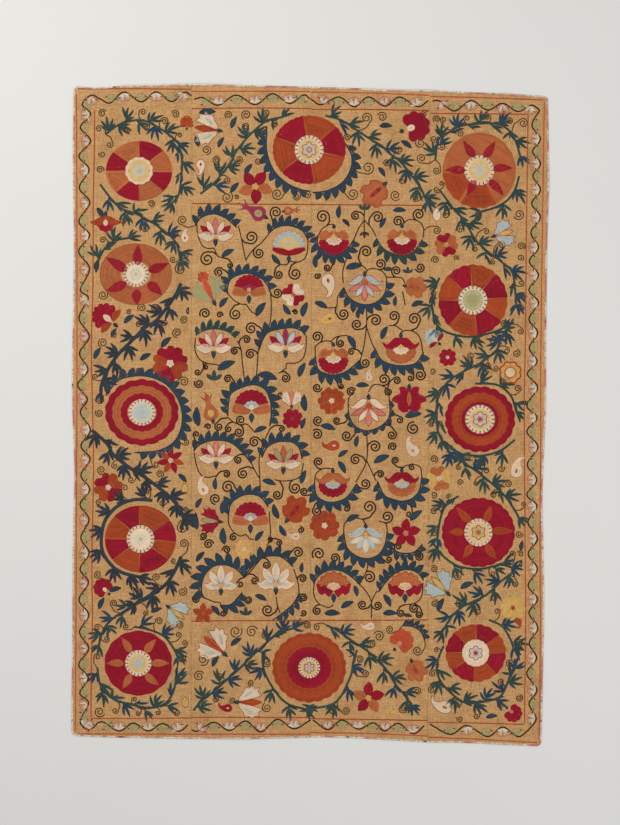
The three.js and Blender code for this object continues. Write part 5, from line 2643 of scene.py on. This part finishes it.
CURLS_OUTER_RIGHT = (
    (460, 1078, 14), (485, 1075, 12), (570, 1080, 12), (645, 1083, 12), (725, 1070, 14), (775, 1063, 18),
    (545, 1025, 12), (450, 1005, 13), (480, 978, 13), (460, 890, 15), (478, 842, 10), (460, 820, 12),
    (610, 732, 10), (760, 730, 20), (495, 728, 13), (460, 672, 15), (545, 675, 12),
    (640, 668, 12), (600, 605, 12), (697, 620, 14), (768, 615, 15), (765, 572, 13), (455, 565, 15),
    (530, 572, 10), (665, 557, 10), (768, 480, 12), (450, 443, 12), (772, 430, 12), (768, 388, 12),
    (705, 335, 12), (765, 305, 12), (610, 275, 12), (665, 270, 13), (715, 235, 12),
    (750, 225, 15), (585, 215, 13), (445, 160, 12), (755, 97, 14), (645, 180, 14), (675, 170, 12),
    (442, -35, 10), (472, -32, 12), (450, -160, 15), (570, -148, 14), (540, -190, 10), (640, -203, 13),
    (695, -195, 13), (545, -245, 12), (605, -248, 10), (720, -250, 15), (450, -290, 13), (505, -295, 10),
    (668, -290, 12), (450, -350, 13), (775, -325, 10), (452, -430, 13), (760, -433, 14), (735, -505, 12),
    (765, -505, 12), (450, -560, 14), (535, -588, 13), (663, -578, 12), (745, -615, 12), (668, -665, 13),
    (543, -685, 15), (452, -685, 14), (610, -715, 12), (680, -715, 12), (760, -827, 15),
    (460, -855, 10), (725, -905, 15), (445, -940, 14), (695, -970, 13), (442, -1000, 13),
    (538, -1055, 10), (760, -1030, 14), (690, -1055, 12), (545, -1105, 12), (605, -1095, 12),
)

# Loose leaves, each by its middle, length and turn
LEAVES_INNER_LEFT = (
    (-375, 1102, 60, 5), (-278, 1065, 45, 65), (-325, 993, 40, 60), (-410, 1000, 45, 100),
    (-225, 895, 45, 55), (-275, 828, 45, 50), (-300, 590, 50, 30), (-125, 568, 45, 130),
    (-315, 410, 45, 50), (-180, 385, 60, 55), (-85, 385, 45, 125), (-20, 385, 55, 70),
    (-305, 180, 70, 25), (-30, 165, 55, 65), (-155, 140, 70, -15), (-410, -5, 70, 95), (-20, 45, 60, 95),
    (-25, -30, 40, 70), (-345, -250, 40, 90), (-25, -225, 50, 70), (-150, -245, 50, -20),
    (-405, -320, 40, 60), (-312, -330, 60, 70), (-415, -385, 60, 95), (-315, -440, 60, 95),
    (-125, -350, 55, 110), (-100, -420, 45, 120), (-400, -515, 45, 50), (-30, -555, 35, 85),
    (-180, -665, 45, -25), (-345, -712, 45, -50), (-270, -825, 45, 35), (-345, -895, 45, 60),
    (-180, -52, 45, 20), (-185, -440, 45, 50),
)
LEAVES_INNER_RIGHT = (
    (105, 740, 45, 85), (130, 700, 35, -45), (265, 700, 40, 60), (325, 745, 45, 0), (275, 1052, 45, 0),
    (350, 985, 45, -35), (260, 885, 40, -55), (160, 540, 60, 10), (285, 530, 35, 0), (20, 560, 45, 90),
    (40, 400, 50, -25), (390, 405, 45, 20), (270, 300, 50, 65), (150, 265, 55, -60), (310, 415, 35, 85),
    (190, 108, 45, 0), (375, 0, 60, 10), (65, -45, 55, -15), (170, -95, 40, 80),
    (120, -140, 40, 35), (115, -190, 50, -60),
    (260, -160, 60, 25), (155, -375, 50, 25), (385, -365, 55, 40),
    (165, -640, 40, -75), (135, -690, 50, 25), (280, -675, 50, -60),
    (80, -722, 55, 0), (290, -722, 50, 0), (355, -730, 30, -10), (175, 370, 35, 88),
)
LEAVES_OUTER = (
    (-765, 735, 45, -60), (-775, 545, 45, 80), (-445, 380, 25, 85), (-660, 350, 45, 40),
    (-715, 300, 35, 60), (-525, 265, 50, 45), (-600, 212, 45, 30), (-775, 225, 45, 60),
    (-465, -230, 40, -45), (-710, -635, 45, 15), (-760, -685, 45, 65), (-560, -710, 40, 20),
    (570, -620, 50, 25), (475, -690, 50, 65), (768, -540, 25, 85), (770, -475, 35, 80),
    (660, -1097, 40, 10),
)

# Flowers beside the vines and round the field
SIDE_FLOWERS = (
    Fan(Place(-450, 1045, 0, 0.62), RUST, RUST, VERMILION),
    Winged(Place(-745, 728, 180, 1.0), RUST, CRIMSON, IVORY),
    Boteh(Place(-457, 630, 0, 0.7), IVORY, ROSE, CRIMSON),
    Fan(Place(-712, 330, 50, 1.3), CRIMSON, RUST, IVORY),
    Pansy(Place(-510, 188, 20, 1.45), CRIMSON, RUST, IVORY),
    Burst(Place(-508, -165, 0, 1.0), CRIMSON, RUST, IVORY),
    Cross(Place(-735, -263, 40, 1.15), CRIMSON, RUST, IVORY),
    Bud(Place(-457, -288, 0, 0.9), STRAW, OLIVE),
    Rosa(Place(-733, -650, 45, 0.8), CRIMSON, CRIMSON, IVORY),
    Tulip(Place(-514, -700, -127, 0.95), SKY, STRAW, OLIVE),
    Bud(Place(-455, -1066, 0, 0.9), STRAW, OLIVE),
    Tulip(Place(-336, 1036, 82, 1.15), IVORY, RUST, CRIMSON),
    Boteh(Place(-398, 930, 180, 0.85), IVORY, CRIMSON, CRIMSON),
    Star(Place(-200, 832, 40, 1.3), CRIMSON, APRICOT, STRAW),
    Fig(Place(-166, 722, 62, 1.2), PLUM, PLUM, SAGE),
    Fig(Place(-95, 742, -85, 0.65), APRICOT, RUST, ROSE),
    Tulip(Place(-352, 415, 25, 1.2), SAGE, VERMILION, ROSE),
    Cross(Place(-390, 503, 0, 0.45), VERMILION, VERMILION, VERMILION),
    Cross(Place(-62, 438, 45, 0.9), CRIMSON, IVORY, APRICOT),
    Bud(Place(-375, 75, 170, 0.5), RUST, RUST),
    Fig(Place(-355, -18, 15, 1.15), APRICOT, RUST, STRAW),
    Tulip(Place(-68, 35, 0, 0.75), IVORY, ROSE, ROSE),
    Cross(Place(-65, -13, 0, 0.8), CRIMSON, CRIMSON, PLUM),
    Boteh(Place(-384, -292, 18, 1.0), IVORY, ROSE, CRIMSON),
    Tulip(Place(-332, -388, 84, 0.9), CRIMSON, SAGE, PLUM),
    Bell(Place(-82, -380, -38, 1.15), RUST, VERMILION, CRIMSON),
    Boteh(Place(-38, -445, 80, 0.7), IVORY, ROSE, ROSE),
    Pansy(Place(-240, -488, 10, 0.82), STRAW, STRAW, IVORY, ROSE),
    Star(Place(-390, -722, 0, 0.8), RUST, RUST, VERMILION),
    Trefoil(Place(-235, -730, 0, 1.0), TEAL),
    Trefoil(Place(-350, 125, 0, 1.2), TEAL),
    Tulip(Place(-316, -866, 50, 1.25), IVORY, VERMILION, CRIMSON),
    Boteh(Place(-285, -1070, 80, 0.75), CRIMSON, RUST, IVORY),
    Tulip(Place(-262, -1045, -90, 1.15), IVORY, RUST, CRIMSON),
    Rosa(Place(335, 1034, -70, 1.3), CRIMSON, ROSE, IVORY),
    Bell(Place(268, 838, 132, 1.15), APRICOT, CRIMSON, CRIMSON),
    Boteh(Place(62, 515, 190, 1.25), IVORY, CRIMSON, CRIMSON),
    Bell(Place(348, 470, -96, 0.88), APRICOT, RUST, RUST),
    Boteh(Place(88, 355, 105, 0.85), STRAW, STRAW, OLIVE),
    Boteh(Place(213, 122, 0, 0.7), IVORY, ROSE, ROSE),
    Pansy(Place(78, 52, 0, 1.1), RUST, RUST, IVORY),
    Vase(Place(360, 98, 180, 1.1), CRIMSON, PLUM, APRICOT),
    Boteh(Place(105, -110, 95, 0.9), VERMILION, RUST, IVORY),
    Boteh(Place(384, -150, 28, 1.1), IVORY, ROSE, ROSE),
    Cross(Place(52, -402, 30, 1.15), RUST, RUST, IVORY, CRIMSON),
    Star(Place(348, -430, 0, 1.1), CRIMSON, CRIMSON, ROSE),
    Boteh(Place(235, -768, 95, 0.75), IVORY, ROSE, ROSE),
    Rosa(Place(308, -852, -40, 1.0), VERMILION, RUST, ROSE),
    Bell(Place(370, -898, 205, 0.9), APRICOT, RUST, RUST),
    Star(Place(212, -1030, 0, 1.2), CRIMSON, APRICOT, STRAW),
    Trefoil(Place(293, -1092, 0, 1.0), STRAW),
    Trefoil(Place(198, 745, 0, 0.9), TEAL),
    Trefoil(Place(355, 515, 0, 0.8), INDIGO),
    Bud(Place(460, 705, 0, 1.1), IVORY, RUST),
    Tulip(Place(672, 652, -74, 0.95), SKY, STRAW, CRIMSON),
    Trefoil(Place(197, 668, 180, 0.75), UMBER),
    Cross(Place(495, 620, 20, 0.95), CRIMSON, APRICOT, STRAW),
    Fan(Place(468, 262, 45, 0.85), SKY, CRIMSON, IVORY),
    Cross(Place(500, 210, 10, 0.7), CRIMSON, CRIMSON, IVORY),
    Medal(Place(728, 155, 0, 1.0), RUST, STRAW, IVORY),
    Cross(Place(470, -230, 15, 1.0), APRICOT, STRAW, IVORY),
    Boteh(Place(744, -226, -12, 1.15), IVORY, ROSE, CRIMSON),
    Tulip(Place(498, -646, 45, 1.1), SKY, STRAW, OLIVE),
    Cross(Place(738, -702, 20, 1.0), STRAW, STRAW, RUST),
    Boteh(Place(752, -735, 200, 0.6), RUST, RUST, RUST),
    Boteh(Place(512, -1074, 68, 1.2), IVORY, CRIMSON, CRIMSON),
    Rosa(Place(716, -1066, -130, 0.75), CRIMSON, CRIMSON, ROSE),
)


@dataclass(frozen=True)
class WaveBorder:
    """A wavy line along the border with a half flower in each bay.

    Attributes:
        turns: The wave's turning places.
        first: 1 where the first turning place has a flower beside it, and otherwise 0.
    """

    turns: tuple[tuple[float, float], ...]
    first: int

    def work(self, hoop: Hoop) -> None:
        """Works the wave and what fills its bays.

        Args:
            hoop: The hoop.
        """
        hoop.line(spaced(smooth(self.turns), LINE_STEP), UMBER, WAVE_WIDTH, lift=0.2)
        places = as_points(self.turns)
        for number in range(1, len(places) - 1):
            peak = places[number]
            facing = 0.5 * (places[number - 1] + places[number + 1]) - peak
            facing /= max(float(np.hypot(*facing)), 1e-6)
            pale = (number + self.first) % 2 == 0
            self.half_flower(hoop, peak, facing, number, pale)
            for turn in (-1, 1):
                side = np.array([-facing[1], facing[0]])
                root = peak + facing * 15 + side * (24 * turn)
                hoop.line(np.vstack([root, root + facing * 5 - side * (9 * turn)]), UMBER, 3.2, lift=0.2)

    def half_flower(self, hoop: Hoop, peak: Points, facing: Points, number: int, pale: bool) -> None:
        """Works a fan of petals in one bay, growing from the wave.

        Args:
            hoop: The hoop.
            peak: The wave's turning place.
            facing: The way into the bay.
            number: Which bay it is.
            pale: Whether it is worked in ivory and sky, and otherwise in sage.
        """
        root = peak + facing * 6
        heading = math.atan2(facing[1], facing[0])
        warm = ROSE if number % 4 == 1 else IVORY
        silks = (warm, SKY, IVORY, ROSE, SKY, IVORY, warm) if pale else (SAGE,) * 7
        for spread, silk in zip((-69, -46, -23, 0, 23, 46, 69), silks):
            turn = heading + math.radians(spread)
            reach = 27 if pale else 24
            hoop.blade(root, root + reach * aim(turn), 6.2 if pale else 3.6, silk)
        rim = heading + np.radians(np.linspace(-78, 78, 9))
        arc = root + (29 if pale else 26) * np.column_stack([np.cos(rim), np.sin(rim)])
        hoop.line(arc, ROSE if pale else SAGE, 3.4, lift=0.1)


def work_borders(hoop: Hoop) -> None:
    """Works the straight lines and waves round the cloth.

    Args:
        hoop: The hoop.
    """
    for silk, places in BORDER_LINES:
        hoop.line(spaced(smooth(places), 4.0), silk, BORDER_LINE_WIDTH, lift=0.1)
    for first, turns in WAVES:
        WaveBorder(turns, first).work(hoop)


def work_field(hoop: Hoop) -> list[Points]:
    """Works the crowns, flowers and stems of the field.

    Args:
        hoop: The hoop.

    Returns:
        The lines that tendrils may grow from.
    """
    roots = []
    for places in FIELD_STEMS:
        line = spaced(smooth(places), STEM_STEP)
        hoop.line(line, UMBER, STEM_WIDTH, lift=0.2)
        roots.append(line)
    for crown in CROWNS:
        crown.work(hoop)
        roots.append(spaced(smooth(crown.arc), STEM_STEP))
    for flower in FIELD_FLOWERS:
        flower.work(hoop)
    return roots


def work_vines(hoop: Hoop) -> list[Points]:
    """Works the leafy vines round the rosettes.

    Args:
        hoop: The hoop.

    Returns:
        The lines of their stems.
    """
    roots = []
    for path, outlined, seed in VINES:
        silk = INDIGO if outlined else TEAL
        vine = Vine(path, silk, UMBER if outlined else None, 8.4 if outlined else 7.0, seed=seed)
        vine.work(hoop, ROSETTES)
        roots.append(vine.stem())
    return roots


def work_design(hoop: Hoop) -> None:
    """Works every motif in the hoop, the ground motifs first.

    Args:
        hoop: The hoop.
    """
    work_borders(hoop)
    for rosette in ROSETTES:
        rosette.work(hoop)
    stems = np.vstack(work_vines(hoop) + work_field(hoop))
    for rows in (CURLS_OUTER_LEFT, CURLS_INNER_LEFT, CURLS_INNER_RIGHT, CURLS_OUTER_RIGHT):
        for x, y, radius in rows:
            in_field = abs(x) < 430 and -740 < y < 760
            silk, width = (UMBER, DARK_CURL_WIDTH) if in_field else (OLIVE, PALE_CURL_WIDTH)
            Curl(x, y, radius, silk, width).work(hoop, stems)
    for rows in (LEAVES_INNER_LEFT, LEAVES_INNER_RIGHT, LEAVES_OUTER):
        for x, y, length, turn in rows:
            Leaf(x, y, length, turn).work(hoop)
    for flower in SIDE_FLOWERS:
        flower.work(hoop)


STRIPS = (
    ClothStrip("cotton_outer_left", "strip_outer_left", None, LEFT_SEAM),
    ClothStrip("cotton_inner_left", "strip_inner_left", LEFT_SEAM, MIDDLE_SEAM),
    ClothStrip("cotton_inner_right", "strip_inner_right", MIDDLE_SEAM, RIGHT_SEAM),
    ClothStrip("cotton_outer_right", "strip_outer_right", RIGHT_SEAM, None),
)

DYES = {
    CRIMSON: SilkFinish(linear(148, 14, 38)),
    RUST: SilkFinish(linear(164, 68, 32)),
    APRICOT: SilkFinish(linear(176, 98, 56)),
    VERMILION: SilkFinish(linear(182, 76, 44)),
    TEAL: SilkFinish(linear(50, 70, 66)),
    INDIGO: SilkFinish(linear(42, 64, 80)),
    UMBER: SilkFinish(linear(48, 32, 18)),
    OLIVE: SilkFinish(linear(84, 58, 26)),
    IVORY: SilkFinish(linear(220, 198, 168), deep=0.85, worn=1.12),
    SKY: SilkFinish(linear(176, 184, 178), deep=0.85, worn=1.15),
    STRAW: SilkFinish(linear(208, 166, 94), deep=0.85, worn=1.15),
    SAGE: SilkFinish(linear(162, 156, 108), deep=0.85, worn=1.15),
    ROSE: SilkFinish(linear(196, 116, 98)),
    PLUM: SilkFinish(linear(150, 48, 74)),
}


@dataclass
class Embroidery:
    """All the needlework, one piece for each silk.

    Attributes:
        hoop: The hoop that holds the rows.
    """

    hoop: Hoop = field(default_factory=Hoop)

    def build(self, tree: bpy.types.NodeTree) -> list[bpy.types.Object]:
        """Makes the rows of every silk.

        Args:
            tree: The tree that sweeps rows.

        Returns:
            The pieces.
        """
        made = []
        for thread, rows in self.hoop.rows.items():
            if not rows:
                continue
            source = path_object(thread.value + "_rows", rows, ROW_BASE)
            finish = DYES[thread].material(thread.value)
            values = {"Crown": ROW_CROWN, "Sides": ROW_SIDES, "Thread": finish}
            obj = baked("stitched_" + thread.value, source, tree, values)
            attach(obj, "root")
            log.info("%s: %d rows, %d faces", obj.name, len(rows), len(obj.data.polygons))
            made.append(obj)
        return made


@dataclass
class SingleStitches:
    """Stitches or threads laid one by one along a line.

    Attributes:
        spacing: Distance between two of them.
        length: Their usual length.
        width: Their thickness.
        turn: Degrees between them and the line.
        uneven: How far one may turn from the others, in radians.
        seed: Sets the unevenness.
        lift: How far their middle stands over the cloth's face.
    """

    spacing: float = 5.5
    length: float = 6.5
    width: float = 0.9
    turn: float = 58.0
    uneven: float = 0.3
    seed: int = 5
    lift: float = 0.15

    def lay(
        self, name: str, paths: Sequence[Points], tree: bpy.types.NodeTree, thread: bpy.types.Material
    ) -> bpy.types.Object:
        """Lays them along some paths as one piece.

        Args:
            name: The piece's name.
            paths: The paths, in millimetres.
            tree: The tree that lays stitches.
            thread: The thread's finish.

        Returns:
            The piece.
        """
        rows = [Row(path, False, np.ones(len(path)), 0.0, 0.5) for path in paths]
        values = {
            "Spacing": self.spacing * MM,
            "Turn": math.radians(self.turn),
            "Length": self.length * MM,
            "Width": self.width * MM,
            "Unevenness": self.uneven,
            "Seed": self.seed,
            "Thread": thread,
        }
        return baked(name, path_object(name + "_line", rows, self.lift), tree, values)


@dataclass
class SeamSewing(SingleStitches):
    """The small slanting stitches that join two strips.

    Attributes:
        inset: How far they stop short of the rim.
    """

    inset: float = 10.0

    def build(
        self, name: str, seam: Seam, tree: bpy.types.NodeTree, thread: bpy.types.Material
    ) -> bpy.types.Object:
        """Makes one seam's stitches.

        Args:
            name: The piece's name.
            seam: The seam that they follow.
            tree: The tree that lays stitches.
            thread: The thread's finish.

        Returns:
            The piece.
        """
        top = float(TOP_RIM.at(float(seam.top))) - self.inset
        bottom = float(BOTTOM_RIM.at(float(seam.bottom))) + self.inset
        y = np.arange(bottom, top, 20.0)
        return self.lay(name, [np.column_stack([seam.at(y), y])], tree, thread)


@dataclass
class LooseThreads(SingleStitches):
    """Short cotton threads that stand out where the top edge is worn, with sizes of their own.

    Attributes:
        stretches: Where each worn stretch starts and stops along the edge.
    """

    spacing: float = 2.6
    length: float = 10.0
    width: float = 1.1
    turn: float = 85.0
    uneven: float = 0.8
    seed: int = 9
    lift: float = 1.2
    stretches: tuple[tuple[float, float], ...] = ((-690, -560), (-540, -250), (190, 470), (690, 740))

    def build(self, tree: bpy.types.NodeTree, thread: bpy.types.Material) -> bpy.types.Object:
        """Makes all the threads as one piece.

        Args:
            tree: The tree that lays stitches.
            thread: The threads' finish.

        Returns:
            The piece.
        """
        places = [np.arange(start, stop, 8.0) for start, stop in self.stretches]
        paths = [np.column_stack([x, TOP_RIM.at(x)]) for x in places]
        return self.lay("loose_threads", paths, tree, thread)


# Soft lamps: name, place and width of the lit square in metres, and power. Then the tint that both have,
# and the strength of the white light from all round
LAMPS = (("key", (-2.6, 2.2, 3.6), 3.4, 125.0), ("fill", (3.2, -1.0, 4.2), 4.0, 95.0))
LAMP_COLOUR = (1.0, 0.985, 0.96)
SKY_LIGHT = 0.55


def light_and_camera() -> None:
    """Sets the pale floor, the soft studio light and the camera straight above the cloth."""
    ways = ((-1, -1), (1, -1), (1, 1), (-1, 1))
    corners = [(x * FLOOR_REACH, y * FLOOR_REACH, -FLOOR_DROP) for x, y in ways]
    floor = mesh_object("studio_floor", np.array(corners), [(0, 1, 2, 3)])
    floor.data.materials.append(FloorFinish().material("studio_floor"))
    for name, place, width, power in LAMPS:
        lamp = bpy.data.lights.new(name, "AREA")
        lamp.shape = "SQUARE"
        lamp.size = width
        lamp.energy = power
        lamp.color = LAMP_COLOUR
        obj = in_scene(name, lamp)
        obj.location = place
        obj.rotation_mode = "QUATERNION"
        obj.rotation_quaternion = Vector(place).to_track_quat("Z", "Y")
    world = bpy.data.worlds.new("studio")
    world.use_nodes = True
    background = world.node_tree.nodes["Background"]
    background.inputs["Color"].default_value = (1.0, 1.0, 1.0, 1.0)
    background.inputs["Strength"].default_value = SKY_LIGHT
    bpy.context.scene.world = world
    bpy.context.scene.view_settings.view_transform = "Standard"
    lens = bpy.data.cameras.new("above")
    lens.lens = 85.0
    lens.sensor_width = 36.0
    lens.clip_end = 100.0
    camera = in_scene("above", lens)
    camera.location = CAMERA_PLACE
    bpy.context.scene.camera = camera


def seam_material() -> bpy.types.Material:
    """The finish of the thread that joins the strips."""
    return SilkFinish(linear(120, 92, 60), deep=0.8, worn=1.2).material("seam_thread")


def loose_material() -> bpy.types.Material:
    """The finish of the loose threads."""
    return SilkFinish(linear(222, 212, 194), deep=0.85, worn=1.1).material("loose_thread")


def main() -> None:
    """Builds the suzani's cloth, braid, seams and embroidery, then the studio round it."""
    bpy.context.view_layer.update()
    cotton = CottonFinish()
    sheets = []
    for strip in STRIPS:
        obj = strip.build(cotton)
        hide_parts(strip.node)
        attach(obj, "root")
        sheets.append(obj)
        log.info("%s: %d faces", obj.name, len(obj.data.polygons))
    rows = row_tree()
    stitches = stitch_tree()
    braid = Braid()
    braid.plan()
    for name in braid.lengths:
        obj = braid.build(name, rows, BraidFinish())
        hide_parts(name)
        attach(obj, "root")
        log.info("%s: %d faces", obj.name, len(obj.data.polygons))
    sewing = SeamSewing()
    thread = seam_material()
    for name, seam in (("seam_left", LEFT_SEAM), ("seam_middle", MIDDLE_SEAM), ("seam_right", RIGHT_SEAM)):
        obj = sewing.build(name, seam, stitches, thread)
        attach(obj, "root")
        log.info("%s: %d faces", obj.name, len(obj.data.polygons))
    frays = LooseThreads().build(stitches, loose_material())
    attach(frays, "root")
    log.info("%s: %d faces", frays.name, len(frays.data.polygons))
    embroidery = Embroidery()
    work_design(embroidery.hoop)
    embroidery.build(rows)
    for obj, strip in zip(sheets, STRIPS):
        width = float(strip.right_side(0.0) - strip.left_side(0.0)) * MM
        shares = strip.shares()
        lengths = strip.column_end(shares, TOP_RIM, 1) - strip.column_end(shares, BOTTOM_RIM, -1)
    light_and_camera()


if __name__ == "__main__":
    main()
